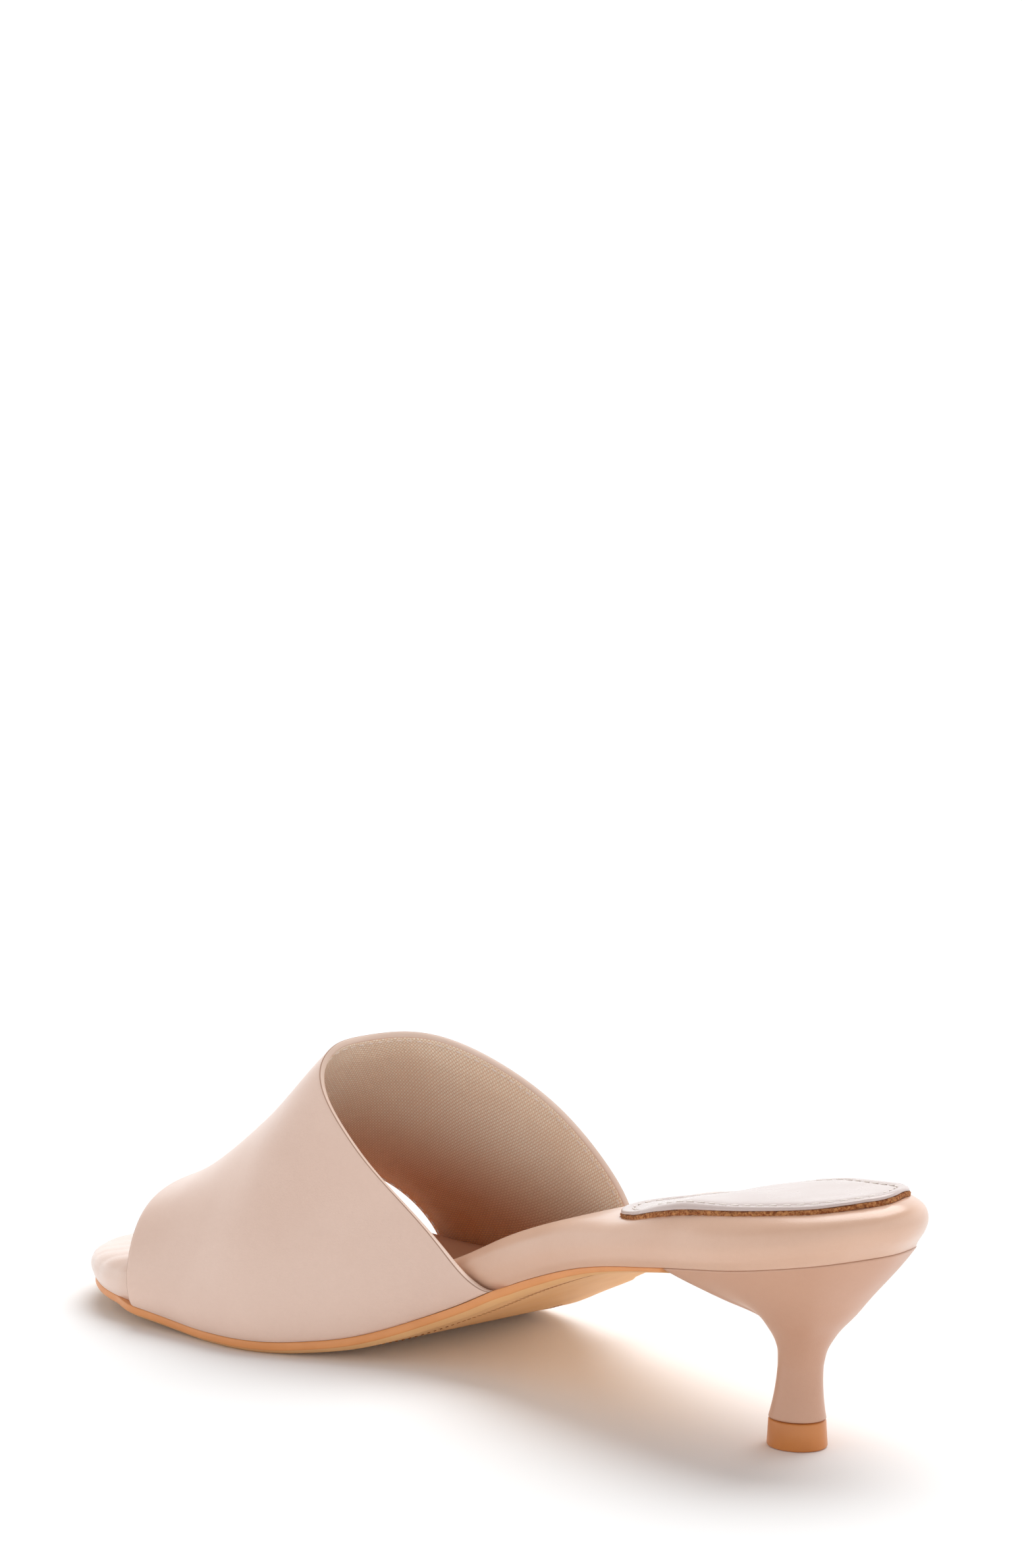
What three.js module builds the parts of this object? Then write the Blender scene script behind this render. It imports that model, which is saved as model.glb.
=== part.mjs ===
// A slide sandal with a kitten heel, for the right foot, in millimetres.
//
// X runs from the heel to the toe, Y towards the inner side of the foot and Z up. The origin is the
// middle of the ground face under the heel. The sole is level under the ball, where its bottom is at Z 0.
import * as THREE from 'three';

// Sizes of the sole and the footbed
const footbedLength = 240;
const ballWidth = 75.5;
const seatRise = 41.2;
const toeSpring = 4.7;
const footbedThickness = 10.5;
const soleThickness = 2.8;
const breastThickness = 1.3;
const soleWall = 1.7;
const chamferWidth = 2.2;

// Sizes of the upper
const instepHeight = 67;
const upperWall = 2;
const bellyOut = 2;
const bellyHeight = 30;
const bellyLowness = 0.6;
const crestFullness = 2.1;
const crestReach = 8;

// Sizes of the heel
const heelSetback = 27.4;
const seatLength = 46;
const waistHeight = 17;
const waistLength = 10.2;
const waistWidth = 9;
const waistShift = 0.9;
const liftHeight = 5.8;
const liftLength = 13.6;
const liftWidth = 12;
const liftTaper = 0.945;
const stemFrontShare = 0.92;

// Sizes of the heel sock
const sockLength = 68;
const sockLean = 3.5;
const sockBackingThickness = 0.7;
const sockCoverThickness = 0.7;
const sockCoverInset = 0.35;

// Room between two pieces
const gap = 0.3;

// How round the ends of the footbed are, as shares of its length
const heelRound = 0.136;
const toeRound = 0.159;

// Footbed outline, a row per section. Its place is a share of the length from the back. Its width and
// its shift to the inner side are shares of the ball width. Its thickness there, its roll, which stands
// out from the bottom edge, and the rounding of its top edge are shares of the thickness.
const outlineRows = [
  { along: 0.0, width: 0.558, shift: -0.008, thick: 1.0, roll: 0.32, soft: 0.24 },
  { along: 0.12, width: 0.575, shift: -0.012, thick: 1.0, roll: 0.32, soft: 0.24 },
  { along: 0.2, width: 0.577, shift: -0.021, thick: 1.0, roll: 0.3, soft: 0.26 },
  { along: 0.3, width: 0.572, shift: -0.06, thick: 1.0, roll: 0.26, soft: 0.3 },
  { along: 0.4, width: 0.596, shift: -0.11, thick: 1.0, roll: 0.2, soft: 0.36 },
  { along: 0.5, width: 0.62, shift: -0.146, thick: 1.0, roll: 0.08, soft: 0.45 },
  { along: 0.6, width: 0.836, shift: -0.087, thick: 1.0, roll: 0.07, soft: 0.5 },
  { along: 0.7, width: 1.0, shift: -0.018, thick: 0.98, roll: 0.07, soft: 0.5 },
  { along: 0.8, width: 1.004, shift: 0.0, thick: 0.95, roll: 0.08, soft: 0.5 },
  { along: 0.9, width: 0.939, shift: 0.065, thick: 0.84, roll: 0.13, soft: 0.55 },
  { along: 1.0, width: 0.86, shift: 0.092, thick: 0.46, roll: 0.13, soft: 0.6 },
];

// Side profile behind the ball, as a share of the seat's rise
const shankRows = [
  { along: 0.0, rise: 1.0 },
  { along: 0.1, rise: 0.9 },
  { along: 0.2, rise: 0.816 },
  { along: 0.3, rise: 0.708 },
  { along: 0.4, rise: 0.522 },
  { along: 0.5, rise: 0.269 },
  { along: 0.6, rise: 0.046 },
  { along: 0.67, rise: 0.0 },
  { along: 1.0, rise: 0.0 },
];

// Side profile in front of the ball, as a share of the toe spring
const springRows = [
  { along: 0.0, rise: 0.0 },
  { along: 0.73, rise: 0.0 },
  { along: 0.79, rise: 0.2 },
  { along: 0.88, rise: 0.6 },
  { along: 1.0, rise: 1.0 },
];

// Cross-sections of the upper, a row per section. The crest's height is a share of the instep height
// and its shift to the inner side a share of the ball width. Fullness 2 is an ellipse, less is leaner
// and more is squarer.
const archRows = [
  { along: 0.45, crest: 1.414, shift: 0.126, inner: 0.97, outer: 1.85 },
  { along: 0.55, crest: 1.25, shift: 0.134, inner: 1.27, outer: 1.74 },
  { along: 0.65, crest: 1.057, shift: 0.117, inner: 1.58, outer: 1.63 },
  { along: 0.75, crest: 0.765, shift: 0.041, inner: 1.92, outer: 1.65 },
  { along: 0.85, crest: 0.511, shift: -0.005, inner: 2.3, outer: 1.93 },
  { along: 0.95, crest: 0.374, shift: -0.025, inner: 2.68, outer: 2.27 },
];

// Open edges of the upper: where each meets the sole and the crest, as shares of the length, and how
// late it turns away from the crest on each side
const rearEdge = { inner: 0.446, crest: 0.667, outer: 0.474, innerTurn: 4.07, outerTurn: 1.78 };
const frontEdge = { inner: 0.832, crest: 0.888, outer: 0.777, innerTurn: 1.77, outerTurn: 1.73 };

// How long the sole takes to step out under the upper, as a share of the length
const stepLength = 0.022;

// Side of the footbed from its bottom edge to its flat top: the height as a share of the thickness, and
// how much of the roll and of the rounding is there
const rollRows = [
  { up: 0.0, roll: 0.0, soft: 0.0 },
  { up: 0.2, roll: 0.72, soft: 0.0 },
  { up: 0.45, roll: 1.0, soft: 0.0 },
  { up: 0.68, roll: 0.88, soft: 0.04 },
  { up: 0.85, roll: 0.5, soft: 0.18 },
  { up: 0.95, roll: 0.15, soft: 0.45 },
  { up: 1.0, roll: 0.0, soft: 1.0 },
];

// Flow of the heel's side from the seat down to the waist. The drop is a share of the height between
// them, and the reach is the share that is left of the way out to the seat's edge. The back column holds
// for the back and the sides, and gives way to the front column in the span of directions below it.
const flowRows = [
  { drop: 0.0, back: 1.0, front: 1.0 },
  { drop: 0.1, back: 0.9, front: 0.85 },
  { drop: 0.22, back: 0.765, front: 0.65 },
  { drop: 0.34, back: 0.62, front: 0.44 },
  { drop: 0.45, back: 0.49, front: 0.22 },
  { drop: 0.53, back: 0.405, front: 0.11 },
  { drop: 0.61, back: 0.31, front: 0.06 },
  { drop: 0.69, back: 0.2, front: 0.03 },
  { drop: 0.78, back: 0.11, front: 0.01 },
  { drop: 0.88, back: 0.035, front: 0.0 },
  { drop: 1.0, back: 0.0, front: 0.0 },
];

const flowFrontSpan = { from: -0.35, to: 0.6, ease: 1.5 };

// Heights in the stem below the waist, as shares of the way down to the top lift
const stemLevels = [0.3, 0.55, 0.8, 1.0];

// Heel sock outline, as shares of the footbed's width and length
const sockWidthShare = 0.925;
const sockBackShare = 0.008;
const sockFrontRound = 0.1;

// How finely the surfaces are divided
const footbedSections = 42;
const soleSections = 36;
const heelSections = 14;
const breastSections = 6;
const upperAcross = 44;
const upperAlong = 16;
const sockSections = 22;
const liftSections = 16;

const clamp = (value) => Math.min(Math.max(value, 0), 1);
const smooth = (value) => clamp(value) ** 2 * (3 - 2 * clamp(value));
const mix = (from, to, share) => from + (to - from) * share;

// A smooth curve through one column of a table, without overshoot and straight past both ends
function curveThrough(rows, column) {
  const at = rows.map((row) => row.along);
  const value = rows.map((row) => row[column]);
  const last = rows.length - 1;
  const rate = (i) => (value[i + 1] - value[i]) / (at[i + 1] - at[i]);
  const slope = rows.map((row, i) => {
    if (i === 0) return rate(0);
    if (i === last) return rate(last - 1);
    const before = rate(i - 1);
    const after = rate(i);
    return before * after > 0 ? (2 * before * after) / (before + after) : 0;
  });
  return (along) => {
    if (along <= at[0]) return value[0] + slope[0] * (along - at[0]);
    if (along >= at[last]) return value[last] + slope[last] * (along - at[last]);
    let i = 0;
    while (along > at[i + 1]) i += 1;
    const width = at[i + 1] - at[i];
    const t = (along - at[i]) / width;
    const start = (1 + 2 * t) * (1 - t) ** 2 * value[i] + t * (1 - t) ** 2 * width * slope[i];
    return start + t ** 2 * (3 - 2 * t) * value[i + 1] + t ** 2 * (t - 1) * width * slope[i + 1];
  };
}

const widthShare = curveThrough(outlineRows, 'width');
const shiftShare = curveThrough(outlineRows, 'shift');
const thickShare = curveThrough(outlineRows, 'thick');
const rollShare = curveThrough(outlineRows, 'roll');
const softShare = curveThrough(outlineRows, 'soft');
const shankRise = curveThrough(shankRows, 'rise');
const springRise = curveThrough(springRows, 'rise');
const crestShare = curveThrough(archRows, 'crest');
const crestShift = curveThrough(archRows, 'shift');
const innerFullness = curveThrough(archRows, 'inner');
const outerFullness = curveThrough(archRows, 'outer');

const INNER = 1;
const OUTER = -1;

// Roundness of an outline near its end: 0 at the end itself and 1 past the rounded stretch
const roundEnd = (share) => Math.sqrt(1 - (1 - clamp(share)) ** 2);

// Where a share of the length lies on X
const lengthwise = (along) => footbedLength * along - heelSetback;

// Y of the footbed's bottom edge, on one side of the foot
function edgeY(along, side) {
  const ends = roundEnd(along / heelRound) * roundEnd((1 - along) / toeRound);
  return ballWidth * (shiftShare(along) + (side * widthShare(along) * ends) / 2);
}

// Height of the line where the footbed meets the sole and the heel
const seatLine = (along) => soleThickness + seatRise * shankRise(along) + toeSpring * springRise(along);

// A short step along the shoe and round the upper, to measure a direction with
const stepAlong = 0.004;
const stepRound = 0.012;

function seatSlope(along) {
  return (seatLine(along + stepAlong) - seatLine(along - stepAlong)) / (2 * stepAlong * footbedLength);
}

// A point over the seat line, at a height that is measured square to it
function lifted(x, y, height) {
  const along = (x + heelSetback) / footbedLength;
  const slope = seatSlope(along);
  const rise = height / Math.hypot(1, slope);
  return new THREE.Vector3(x - rise * slope, y, seatLine(along) + rise);
}

// A turn of 0 is the back of the outline and 1 is the toe, with sections closer at both ends
const alongAt = (turn) => (1 - Math.cos(Math.PI * turn)) / 2;
const turnAt = (along) => Math.acos(1 - 2 * along) / Math.PI;

// A plan point of the footbed's outline, moved outwards
function rim(turn, side, out) {
  const place = (t) => {
    const along = alongAt(clamp(t));
    return new THREE.Vector2(lengthwise(along), edgeY(along, side));
  };
  const ahead = place(turn + stepAlong / 2).sub(place(turn - stepAlong / 2)).normalize();
  const outwards = new THREE.Vector2(-ahead.y * side, ahead.x * side);
  return place(turn).addScaledVector(outwards, out);
}

// How far the sole steps out at a section, because the upper's wall runs down beside the footbed
function stepOut(along, side) {
  const start = side === INNER ? rearEdge.inner : rearEdge.outer;
  const end = side === INNER ? frontEdge.inner : frontEdge.outer;
  const cover = smooth((along - start) / stepLength + 1) * smooth((end - along) / stepLength + 1);
  return cover * (upperWall + gap);
}

// Turns of evenly numbered sections from one turn to another, kept half a section off a round end
function turnsBetween(first, last, count) {
  return Array.from({ length: count }, (_, i) => {
    const start = first === 0 ? 0.5 / count : 0;
    const end = last === 1 ? 1 - 0.5 / count : 1;
    return first + (last - first) * mix(start, end, i / (count - 1));
  });
}

// A closed loop: up the inner side and back down the outer side
function loop(steps, place) {
  const inner = steps.map((step) => place(step, INNER));
  const outer = steps.map((step) => place(step, OUTER));
  return [...inner, ...outer.reverse()];
}

// Triangles between two loops of one length that start at two vertex numbers
function bandFaces(first, second, count) {
  const faces = [];
  for (let i = 0; i < count; i += 1) {
    const next = (i + 1) % count;
    faces.push([first + i, first + next, second + next]);
    faces.push([first + i, second + next, second + i]);
  }
  return faces;
}

// Triangles that close a loop: strips across it, then a fan over what is left at its far end
function capFaces(start, count, sideCount) {
  const faces = [];
  for (let i = 0; i < sideCount - 2; i += 1) {
    const across = count - 1 - i;
    faces.push([start + i, start + i + 1, start + across - 1]);
    faces.push([start + i, start + across - 1, start + across]);
  }
  const corner = sideCount - 2;
  for (let i = corner + 1; i < count - 1 - corner; i += 1) {
    faces.push([start + corner, start + i, start + i + 1]);
  }
  return faces;
}

// A closed mesh from its points and faces, turned so that its faces point out
function closedMesh(name, points, faces, finish) {
  let volume = 0;
  for (const [a, b, c] of faces) {
    volume += points[a].dot(new THREE.Vector3().crossVectors(points[b], points[c]));
  }
  const turned = volume > 0 ? faces : faces.map(([a, b, c]) => [a, c, b]);
  const geometry = new THREE.BufferGeometry();
  const position = points.flatMap((point) => [point.x, point.y, point.z]);
  geometry.setAttribute('position', new THREE.Float32BufferAttribute(position, 3));
  geometry.setIndex(turned.flat());
  geometry.computeVertexNormals();
  const mesh = new THREE.Mesh(geometry, new THREE.MeshStandardMaterial(finish));
  mesh.name = name;
  return mesh;
}

// A solid through a stack of loops, closed at the first and the last
function stackedSolid(name, rings, sideCount, finish) {
  const count = rings[0].length;
  const faces = [];
  for (let level = 0; level + 1 < rings.length; level += 1) {
    faces.push(...bandFaces(level * count, (level + 1) * count, count));
  }
  faces.push(...capFaces(0, count, sideCount).map(([a, b, c]) => [a, c, b]));
  faces.push(...capFaces((rings.length - 1) * count, count, sideCount));
  return closedMesh(name, rings.flat(), faces, finish);
}

// Outsole: a straight side wall and a chamfer, from the breast of the heel to the toe
function makeOutsole() {
  const breast = (seatLength + gap) / footbedLength;
  const turns = turnsBetween(turnAt(breast), 1, soleSections);
  const thickness = (along) => {
    return mix(breastThickness, soleThickness, smooth((along - breast) / (rearEdge.inner - breast)));
  };
  const levels = [
    { depth: 1, inset: 1 },
    { depth: soleWall / soleThickness, inset: 0 },
    { depth: 0, inset: 0 },
  ];
  const rings = levels.map((level) => loop(turns, (turn, side) => {
    const along = alongAt(turn);
    const out = stepOut(along, side) - level.inset * chamferWidth;
    const plan = rim(turn, side, out);
    return lifted(plan.x, plan.y, -level.depth * thickness(along));
  }));
  return stackedSolid('outsole', rings, soleSections, { color: 0xc98f5f, roughness: 0.6, metalness: 0 });
}

// Footbed: a padded board with a soft roll all round
function makeFootbed() {
  const turns = turnsBetween(0, 1, footbedSections);
  const rings = rollRows.map((row) => loop(turns, (turn, side) => {
    const along = alongAt(turn);
    const out = row.roll * rollShare(along) - row.soft * softShare(along);
    const plan = rim(turn, side, footbedThickness * out);
    const top = footbedThickness * thickShare((plan.x + heelSetback) / footbedLength);
    return lifted(plan.x, plan.y, mix(gap, top, row.up));
  }));
  return stackedSolid('footbed', rings, footbedSections, { color: 0xdcb8a2, roughness: 0.5, metalness: 0 });
}

// A place on an open edge of the upper. The angle is 0 at the inner foot and pi at the outer foot.
function edgeAlong(edge, angle) {
  const lean = Math.cos(angle);
  const foot = lean >= 0 ? edge.inner : edge.outer;
  const turn = lean >= 0 ? edge.innerTurn : edge.outerTurn;
  return mix(edge.crest, foot, Math.abs(lean) ** turn);
}

// Outer surface of the upper at a section and an angle
function archPoint(along, angle) {
  const lean = Math.cos(angle);
  const lift = Math.max(Math.sin(angle), 0);
  const side = lean >= 0 ? INNER : OUTER;
  const footY = edgeY(along, side) + side * (upperWall + gap);
  const footZ = seatLine(along) + gap;
  const crestY = ballWidth * crestShift(along);
  const crestZ = instepHeight * crestShare(along);
  const sideFullness = side === INNER ? innerFullness(along) : outerFullness(along);
  const fullness = mix(sideFullness, crestFullness, lift ** crestReach);
  const height = (crestZ - footZ) * lift ** (2 / fullness);
  const belly = bellyOut * Math.sin(Math.PI * clamp(height / bellyHeight) ** bellyLowness);
  const y = mix(crestY, footY, Math.abs(lean) ** (2 / fullness)) + side * belly;
  return new THREE.Vector3(lengthwise(along), y, footZ + height);
}

// Direction out of the upper's surface
function archNormal(along, angle) {
  const low = Math.max(angle - stepRound, 0);
  const high = Math.min(angle + stepRound, Math.PI);
  const forward = archPoint(along + stepAlong, angle).sub(archPoint(along - stepAlong, angle));
  const across = archPoint(along, high).sub(archPoint(along, low));
  return new THREE.Vector3().crossVectors(across, forward).normalize();
}

// Keeps a point of the upper clear of the sole under it
function aboveSole(point) {
  const along = (point.x + heelSetback) / footbedLength;
  point.z = Math.max(point.z, seatLine(along) + gap * Math.hypot(1, seatSlope(along)));
  return point;
}

// Upper: one hollow wall, open in front, behind and underneath
function makeUpper() {
  const points = [];
  const number = (layer, i, j) => (layer * (upperAcross + 1) + i) * (upperAlong + 1) + j;
  for (const depth of [0, upperWall]) {
    for (let i = 0; i <= upperAcross; i += 1) {
      const angle = (Math.PI * i) / upperAcross;
      for (let j = 0; j <= upperAlong; j += 1) {
        const along = mix(edgeAlong(rearEdge, angle), edgeAlong(frontEdge, angle), j / upperAlong);
        const inwards = archNormal(along, angle).multiplyScalar(-depth);
        points.push(aboveSole(archPoint(along, angle).add(inwards)));
      }
    }
  }
  const faces = [];
  const quad = (a, b, c, d) => faces.push([a, b, c], [a, c, d]);
  for (let i = 0; i < upperAcross; i += 1) {
    for (let j = 0; j < upperAlong; j += 1) {
      quad(number(0, i, j), number(0, i, j + 1), number(0, i + 1, j + 1), number(0, i + 1, j));
      quad(number(1, i, j), number(1, i + 1, j), number(1, i + 1, j + 1), number(1, i, j + 1));
    }
    quad(number(0, i, 0), number(0, i + 1, 0), number(1, i + 1, 0), number(1, i, 0));
    quad(number(0, i + 1, upperAlong), number(0, i, upperAlong), number(1, i, upperAlong),
      number(1, i + 1, upperAlong));
  }
  for (let j = 0; j < upperAlong; j += 1) {
    quad(number(0, 0, j + 1), number(0, 0, j), number(1, 0, j), number(1, 0, j + 1));
    quad(number(0, upperAcross, j), number(0, upperAcross, j + 1), number(1, upperAcross, j + 1),
      number(1, upperAcross, j));
  }
  return closedMesh('upper', points, faces, { color: 0xddc1b0, roughness: 0.5, metalness: 0 });
}

// A point on a level section of the stem, a little flatter towards the toe
function stemPoint(angle, length, width, height) {
  const flat = Math.cos(angle) > 0 ? stemFrontShare : 1;
  const shift = waistShift * clamp((height - liftHeight) / (waistHeight - liftHeight));
  const x = (length / 2) * flat * Math.cos(angle) - shift;
  return new THREE.Vector3(x, (width / 2) * Math.sin(angle), height);
}

// Heel: a cupped seat that flows down into a slim stem
function makeHeel() {
  const turns = turnsBetween(0, turnAt(seatLength / footbedLength), heelSections);
  const corner = turns[heelSections - 1];
  const seat = loop(turns, (turn, side) => rim(turn, side, 0));
  const breast = Array.from({ length: breastSections - 1 }, (_, i) => {
    return rim(corner, INNER, 0).lerp(rim(corner, OUTER, 0), (i + 1) / breastSections);
  });
  seat.splice(heelSections, 0, ...breast);
  const angles = seat.map((point) => Math.atan2(point.y, point.x + waistShift));
  const fromWaist = (drop) => seat.map((point, i) => {
    const top = lifted(point.x, point.y, 0);
    const waist = stemPoint(angles[i], waistLength, waistWidth, waistHeight);
    const row = flowRows.findIndex((flow) => flow.drop >= drop);
    const { from, to, ease } = flowFrontSpan;
    const forward = clamp((Math.cos(angles[i]) - from) / (to - from)) ** ease;
    const reach = mix(flowRows[row].back, flowRows[row].front, forward);
    return new THREE.Vector3(mix(waist.x, top.x, reach), mix(waist.y, top.y, reach),
      mix(top.z, waist.z, drop));
  });
  const stemBase = liftHeight + gap;
  const belowWaist = (share) => angles.map((angle) => {
    const flare = share ** 2;
    const length = mix(waistLength, liftLength * liftTaper, flare);
    const width = mix(waistWidth, liftWidth * liftTaper, flare);
    return stemPoint(angle, length, width, mix(waistHeight, stemBase, share));
  });
  const rings = [...flowRows.map((row) => fromWaist(row.drop)), ...stemLevels.map(belowWaist)];
  return stackedSolid('heel', rings, heelSections, { color: 0xcda58c, roughness: 0.45, metalness: 0 });
}

// Top lift: the small block that the heel stands on
function makeTopLift() {
  const steps = Array.from({ length: liftSections }, (_, i) => (i + 0.5) / liftSections);
  const rings = [0, 0.5, 1].map((up) => loop(steps, (step, side) => {
    const scale = mix(1, liftTaper, up);
    return stemPoint(side * Math.PI * (1 - step), liftLength * scale, liftWidth * scale, liftHeight * up);
  }));
  return stackedSolid('top_lift', rings, liftSections, { color: 0xb4733f, roughness: 0.5, metalness: 0 });
}

// One layer of the heel sock, which follows the top of the footbed
function makeSockLayer(name, bottom, thickness, inset, finish) {
  const turns = turnsBetween(0, 1, sockSections);
  const front = sockLength / footbedLength;
  const place = (turn, side) => {
    const along = alongAt(turn) * (front + sockBackShare);
    const round = Math.sqrt(1 - clamp((along - sockBackShare - front + sockFrontRound) / sockFrontRound) ** 2);
    const middle = ballWidth * shiftShare(0) + sockLean * clamp(along / front);
    const half = (edgeY(along, INNER) - edgeY(along, OUTER)) / 2;
    const x = lengthwise(along - sockBackShare);
    const y = middle + side * half * sockWidthShare * round;
    const centre = lengthwise(front / 2);
    const keep = 1 - (2 * inset) / sockLength;
    return lifted(mix(centre, x, keep), mix(middle, y, 1 - inset / half), 0);
  };
  const rings = [bottom, bottom + thickness].map((height) => loop(turns, (turn, side) => {
    const flat = place(turn, side);
    return lifted(flat.x, flat.y, height);
  }));
  return stackedSolid(name, rings, sockSections, finish);
}

const sockBackingBottom = footbedThickness + gap;
const sockCoverBottom = sockBackingBottom + sockBackingThickness + gap;

const sandal = new THREE.Group();
sandal.add(makeOutsole());
sandal.add(makeFootbed());
sandal.add(makeUpper());
sandal.add(makeHeel());
sandal.add(makeTopLift());
sandal.add(makeSockLayer('sock_backing', sockBackingBottom, sockBackingThickness, 0,
  { color: 0xa5683a, roughness: 0.9, metalness: 0 }));
sandal.add(makeSockLayer('sock_cover', sockCoverBottom, sockCoverThickness, sockCoverInset,
  { color: 0xe6d2c8, roughness: 0.35, metalness: 0 }));

export default sandal;
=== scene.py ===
"""A slide sandal with a padded footbed, one wide band and a slim low heel, dressed for the photograph.

Lengths are in millimetres up to the point where a mesh is made, which is in metres.
X runs from the heel to the toe, Y to the inner side of the foot and Z up, as in the CAD.
"""

import math

import bpy
import numpy as np
from mathutils import Matrix, Vector


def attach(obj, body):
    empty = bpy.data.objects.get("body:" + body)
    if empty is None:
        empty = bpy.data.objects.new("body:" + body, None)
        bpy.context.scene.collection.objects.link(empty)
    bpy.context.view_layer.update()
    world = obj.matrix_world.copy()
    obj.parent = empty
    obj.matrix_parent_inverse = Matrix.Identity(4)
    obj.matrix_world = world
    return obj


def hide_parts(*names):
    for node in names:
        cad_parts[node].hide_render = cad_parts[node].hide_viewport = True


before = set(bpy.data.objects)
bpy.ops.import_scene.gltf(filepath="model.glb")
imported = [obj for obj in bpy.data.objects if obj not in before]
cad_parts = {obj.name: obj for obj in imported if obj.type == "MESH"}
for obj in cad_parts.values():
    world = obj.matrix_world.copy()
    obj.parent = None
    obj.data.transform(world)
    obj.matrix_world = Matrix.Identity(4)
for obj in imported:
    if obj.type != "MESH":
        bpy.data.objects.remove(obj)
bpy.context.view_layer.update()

MM = 0.001
RNG = np.random.default_rng(11)


def table(columns, *rows):
    """Rows that are read by the names of their columns."""
    names = columns.split()
    return [dict(zip(names, row)) for row in rows]


# Sizes of the sole and the footbed
FOOTBED_LENGTH = 240.0
BALL_WIDTH = 75.5
SEAT_RISE = 41.2
TOE_SPRING = 4.7
FOOTBED_THICKNESS = 10.5
SOLE_THICKNESS = 2.8
BREAST_THICKNESS = 1.3
CHAMFER_WIDTH = 2.2

# Sizes of the upper
INSTEP_HEIGHT = 67.5
UPPER_WALL = 2.0
BELLY_OUT = 2.0
BELLY_HEIGHT = 30.0
BELLY_LOWNESS = 0.6
CREST_FULLNESS = 2.1
CREST_REACH = 8

# Sizes of the heel
HEEL_SETBACK = 27.4
SEAT_LENGTH = 46.0
WAIST_HEIGHT = 17.0
WAIST_LENGTH = 10.2
WAIST_WIDTH = 9.0
WAIST_SHIFT = 0.9
LIFT_HEIGHT = 5.8
LIFT_LENGTH = 13.6
LIFT_WIDTH = 12.0
LIFT_TAPER = 0.945
STEM_FRONT_SHARE = 0.92

# Sizes of the heel sock
SOCK_LENGTH = 69.0
SOCK_LEAN = 3.5
SOCK_WIDTH_SHARE = 0.87
SOCK_FRONT_ROUND = 0.12
SOCK_REAR_IN = 0.004
SOCK_CORNER_OUT = 2.2
SOCK_CORNER_AT = 0.09
SOCK_CORNER_LONG = 0.1
SOCK_CORNER_RISE = 0.06

# Room between the solids, and the hairline that shows between two pieces
GAP = 0.3
SEEN_GAP = 0.05

# Shares of the footbed's length: its round ends, and the sole's step beside each foot of the band
HEEL_ROUND = 0.136
TOE_ROUND = 0.159
STEP_LENGTH = 0.022
FRONT_STEP_LENGTH = 0.04
BREAST_ALONG = (SEAT_LENGTH + GAP) / FOOTBED_LENGTH

INNER = 1
OUTER = -1

# Footbed outline: its place along, then shares of the ball width and of the footbed's thickness
OUTLINE_ROWS = table(
    "along width shift thick roll soft",
    (0.0, 0.558, -0.008, 1.0, 0.32, 0.24),
    (0.12, 0.575, -0.012, 1.0, 0.32, 0.24),
    (0.2, 0.577, -0.021, 1.0, 0.3, 0.26),
    (0.3, 0.572, -0.06, 1.0, 0.26, 0.3),
    (0.4, 0.596, -0.11, 1.0, 0.2, 0.36),
    (0.5, 0.62, -0.146, 1.0, 0.08, 0.45),
    (0.6, 0.836, -0.087, 1.0, 0.07, 0.5),
    (0.7, 1.0, -0.018, 0.98, 0.07, 0.5),
    (0.8, 1.004, 0.0, 0.95, 0.08, 0.5),
    (0.9, 0.939, 0.065, 0.73, 0.13, 0.55),
    (1.0, 0.86, 0.092, 0.37, 0.13, 0.6),
)

# Side profile behind the ball and in front of it, as shares of the seat's rise and of the toe spring
SHANK_ROWS = table(
    "along rise",
    (0.0, 1.0),
    (0.1, 0.9),
    (0.2, 0.816),
    (0.3, 0.708),
    (0.4, 0.522),
    (0.5, 0.269),
    (0.6, 0.046),
    (0.67, 0.0),
    (1.0, 0.0),
)
SPRING_ROWS = table(
    "along rise",
    (0.0, 0.0),
    (0.73, 0.0),
    (0.79, 0.2),
    (0.88, 0.6),
    (1.0, 1.0),
)

# Cross-sections of the band: height and shift of the crest as shares, and how full each side is
ARCH_ROWS = table(
    "along crest shift inner outer",
    (0.45, 1.414, 0.126, 0.97, 1.85),
    (0.55, 1.25, 0.134, 1.27, 1.74),
    (0.65, 1.057, 0.117, 1.58, 1.63),
    (0.75, 0.765, 0.041, 1.92, 1.65),
    (0.85, 0.511, -0.005, 2.3, 1.93),
    (0.95, 0.374, -0.025, 2.68, 2.27),
)
REAR_EDGE = {"inner": 0.438, "crest": 0.667, "outer": 0.474, "inner_turn": 4.07, "outer_turn": 1.78}
FRONT_EDGE = {"inner": 0.832, "crest": 0.888, "outer": 0.769, "inner_turn": 1.77, "outer_turn": 1.73}

# Waves of the padded seat under the heel sock, in millimetres, at the inner and at the outer edge
SEAT_WAVES = table(
    "x inner outer",
    (-28.0, -0.2, 0.3),
    (-18.0, -0.4, 0.7),
    (-8.0, 0.2, 1.3),
    (0.0, 0.7, 1.6),
    (8.0, 1.1, 1.2),
    (14.0, 1.3, 0.2),
    (20.0, 0.8, -0.8),
    (28.0, -0.7, -1.1),
    (36.0, -1.2, -0.8),
    (44.0, -0.5, -0.2),
    (54.0, 0.0, 0.0),
)

# Side of the footbed, along its height: how much of the roll and of the rounding is there
ROLL_ROWS = table(
    "along roll soft",
    (0.0, 0.0, 0.0),
    (0.2, 0.72, 0.0),
    (0.45, 1.0, 0.0),
    (0.68, 0.88, 0.04),
    (0.85, 0.5, 0.18),
    (0.95, 0.15, 0.45),
    (1.0, 0.0, 1.0),
)

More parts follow.
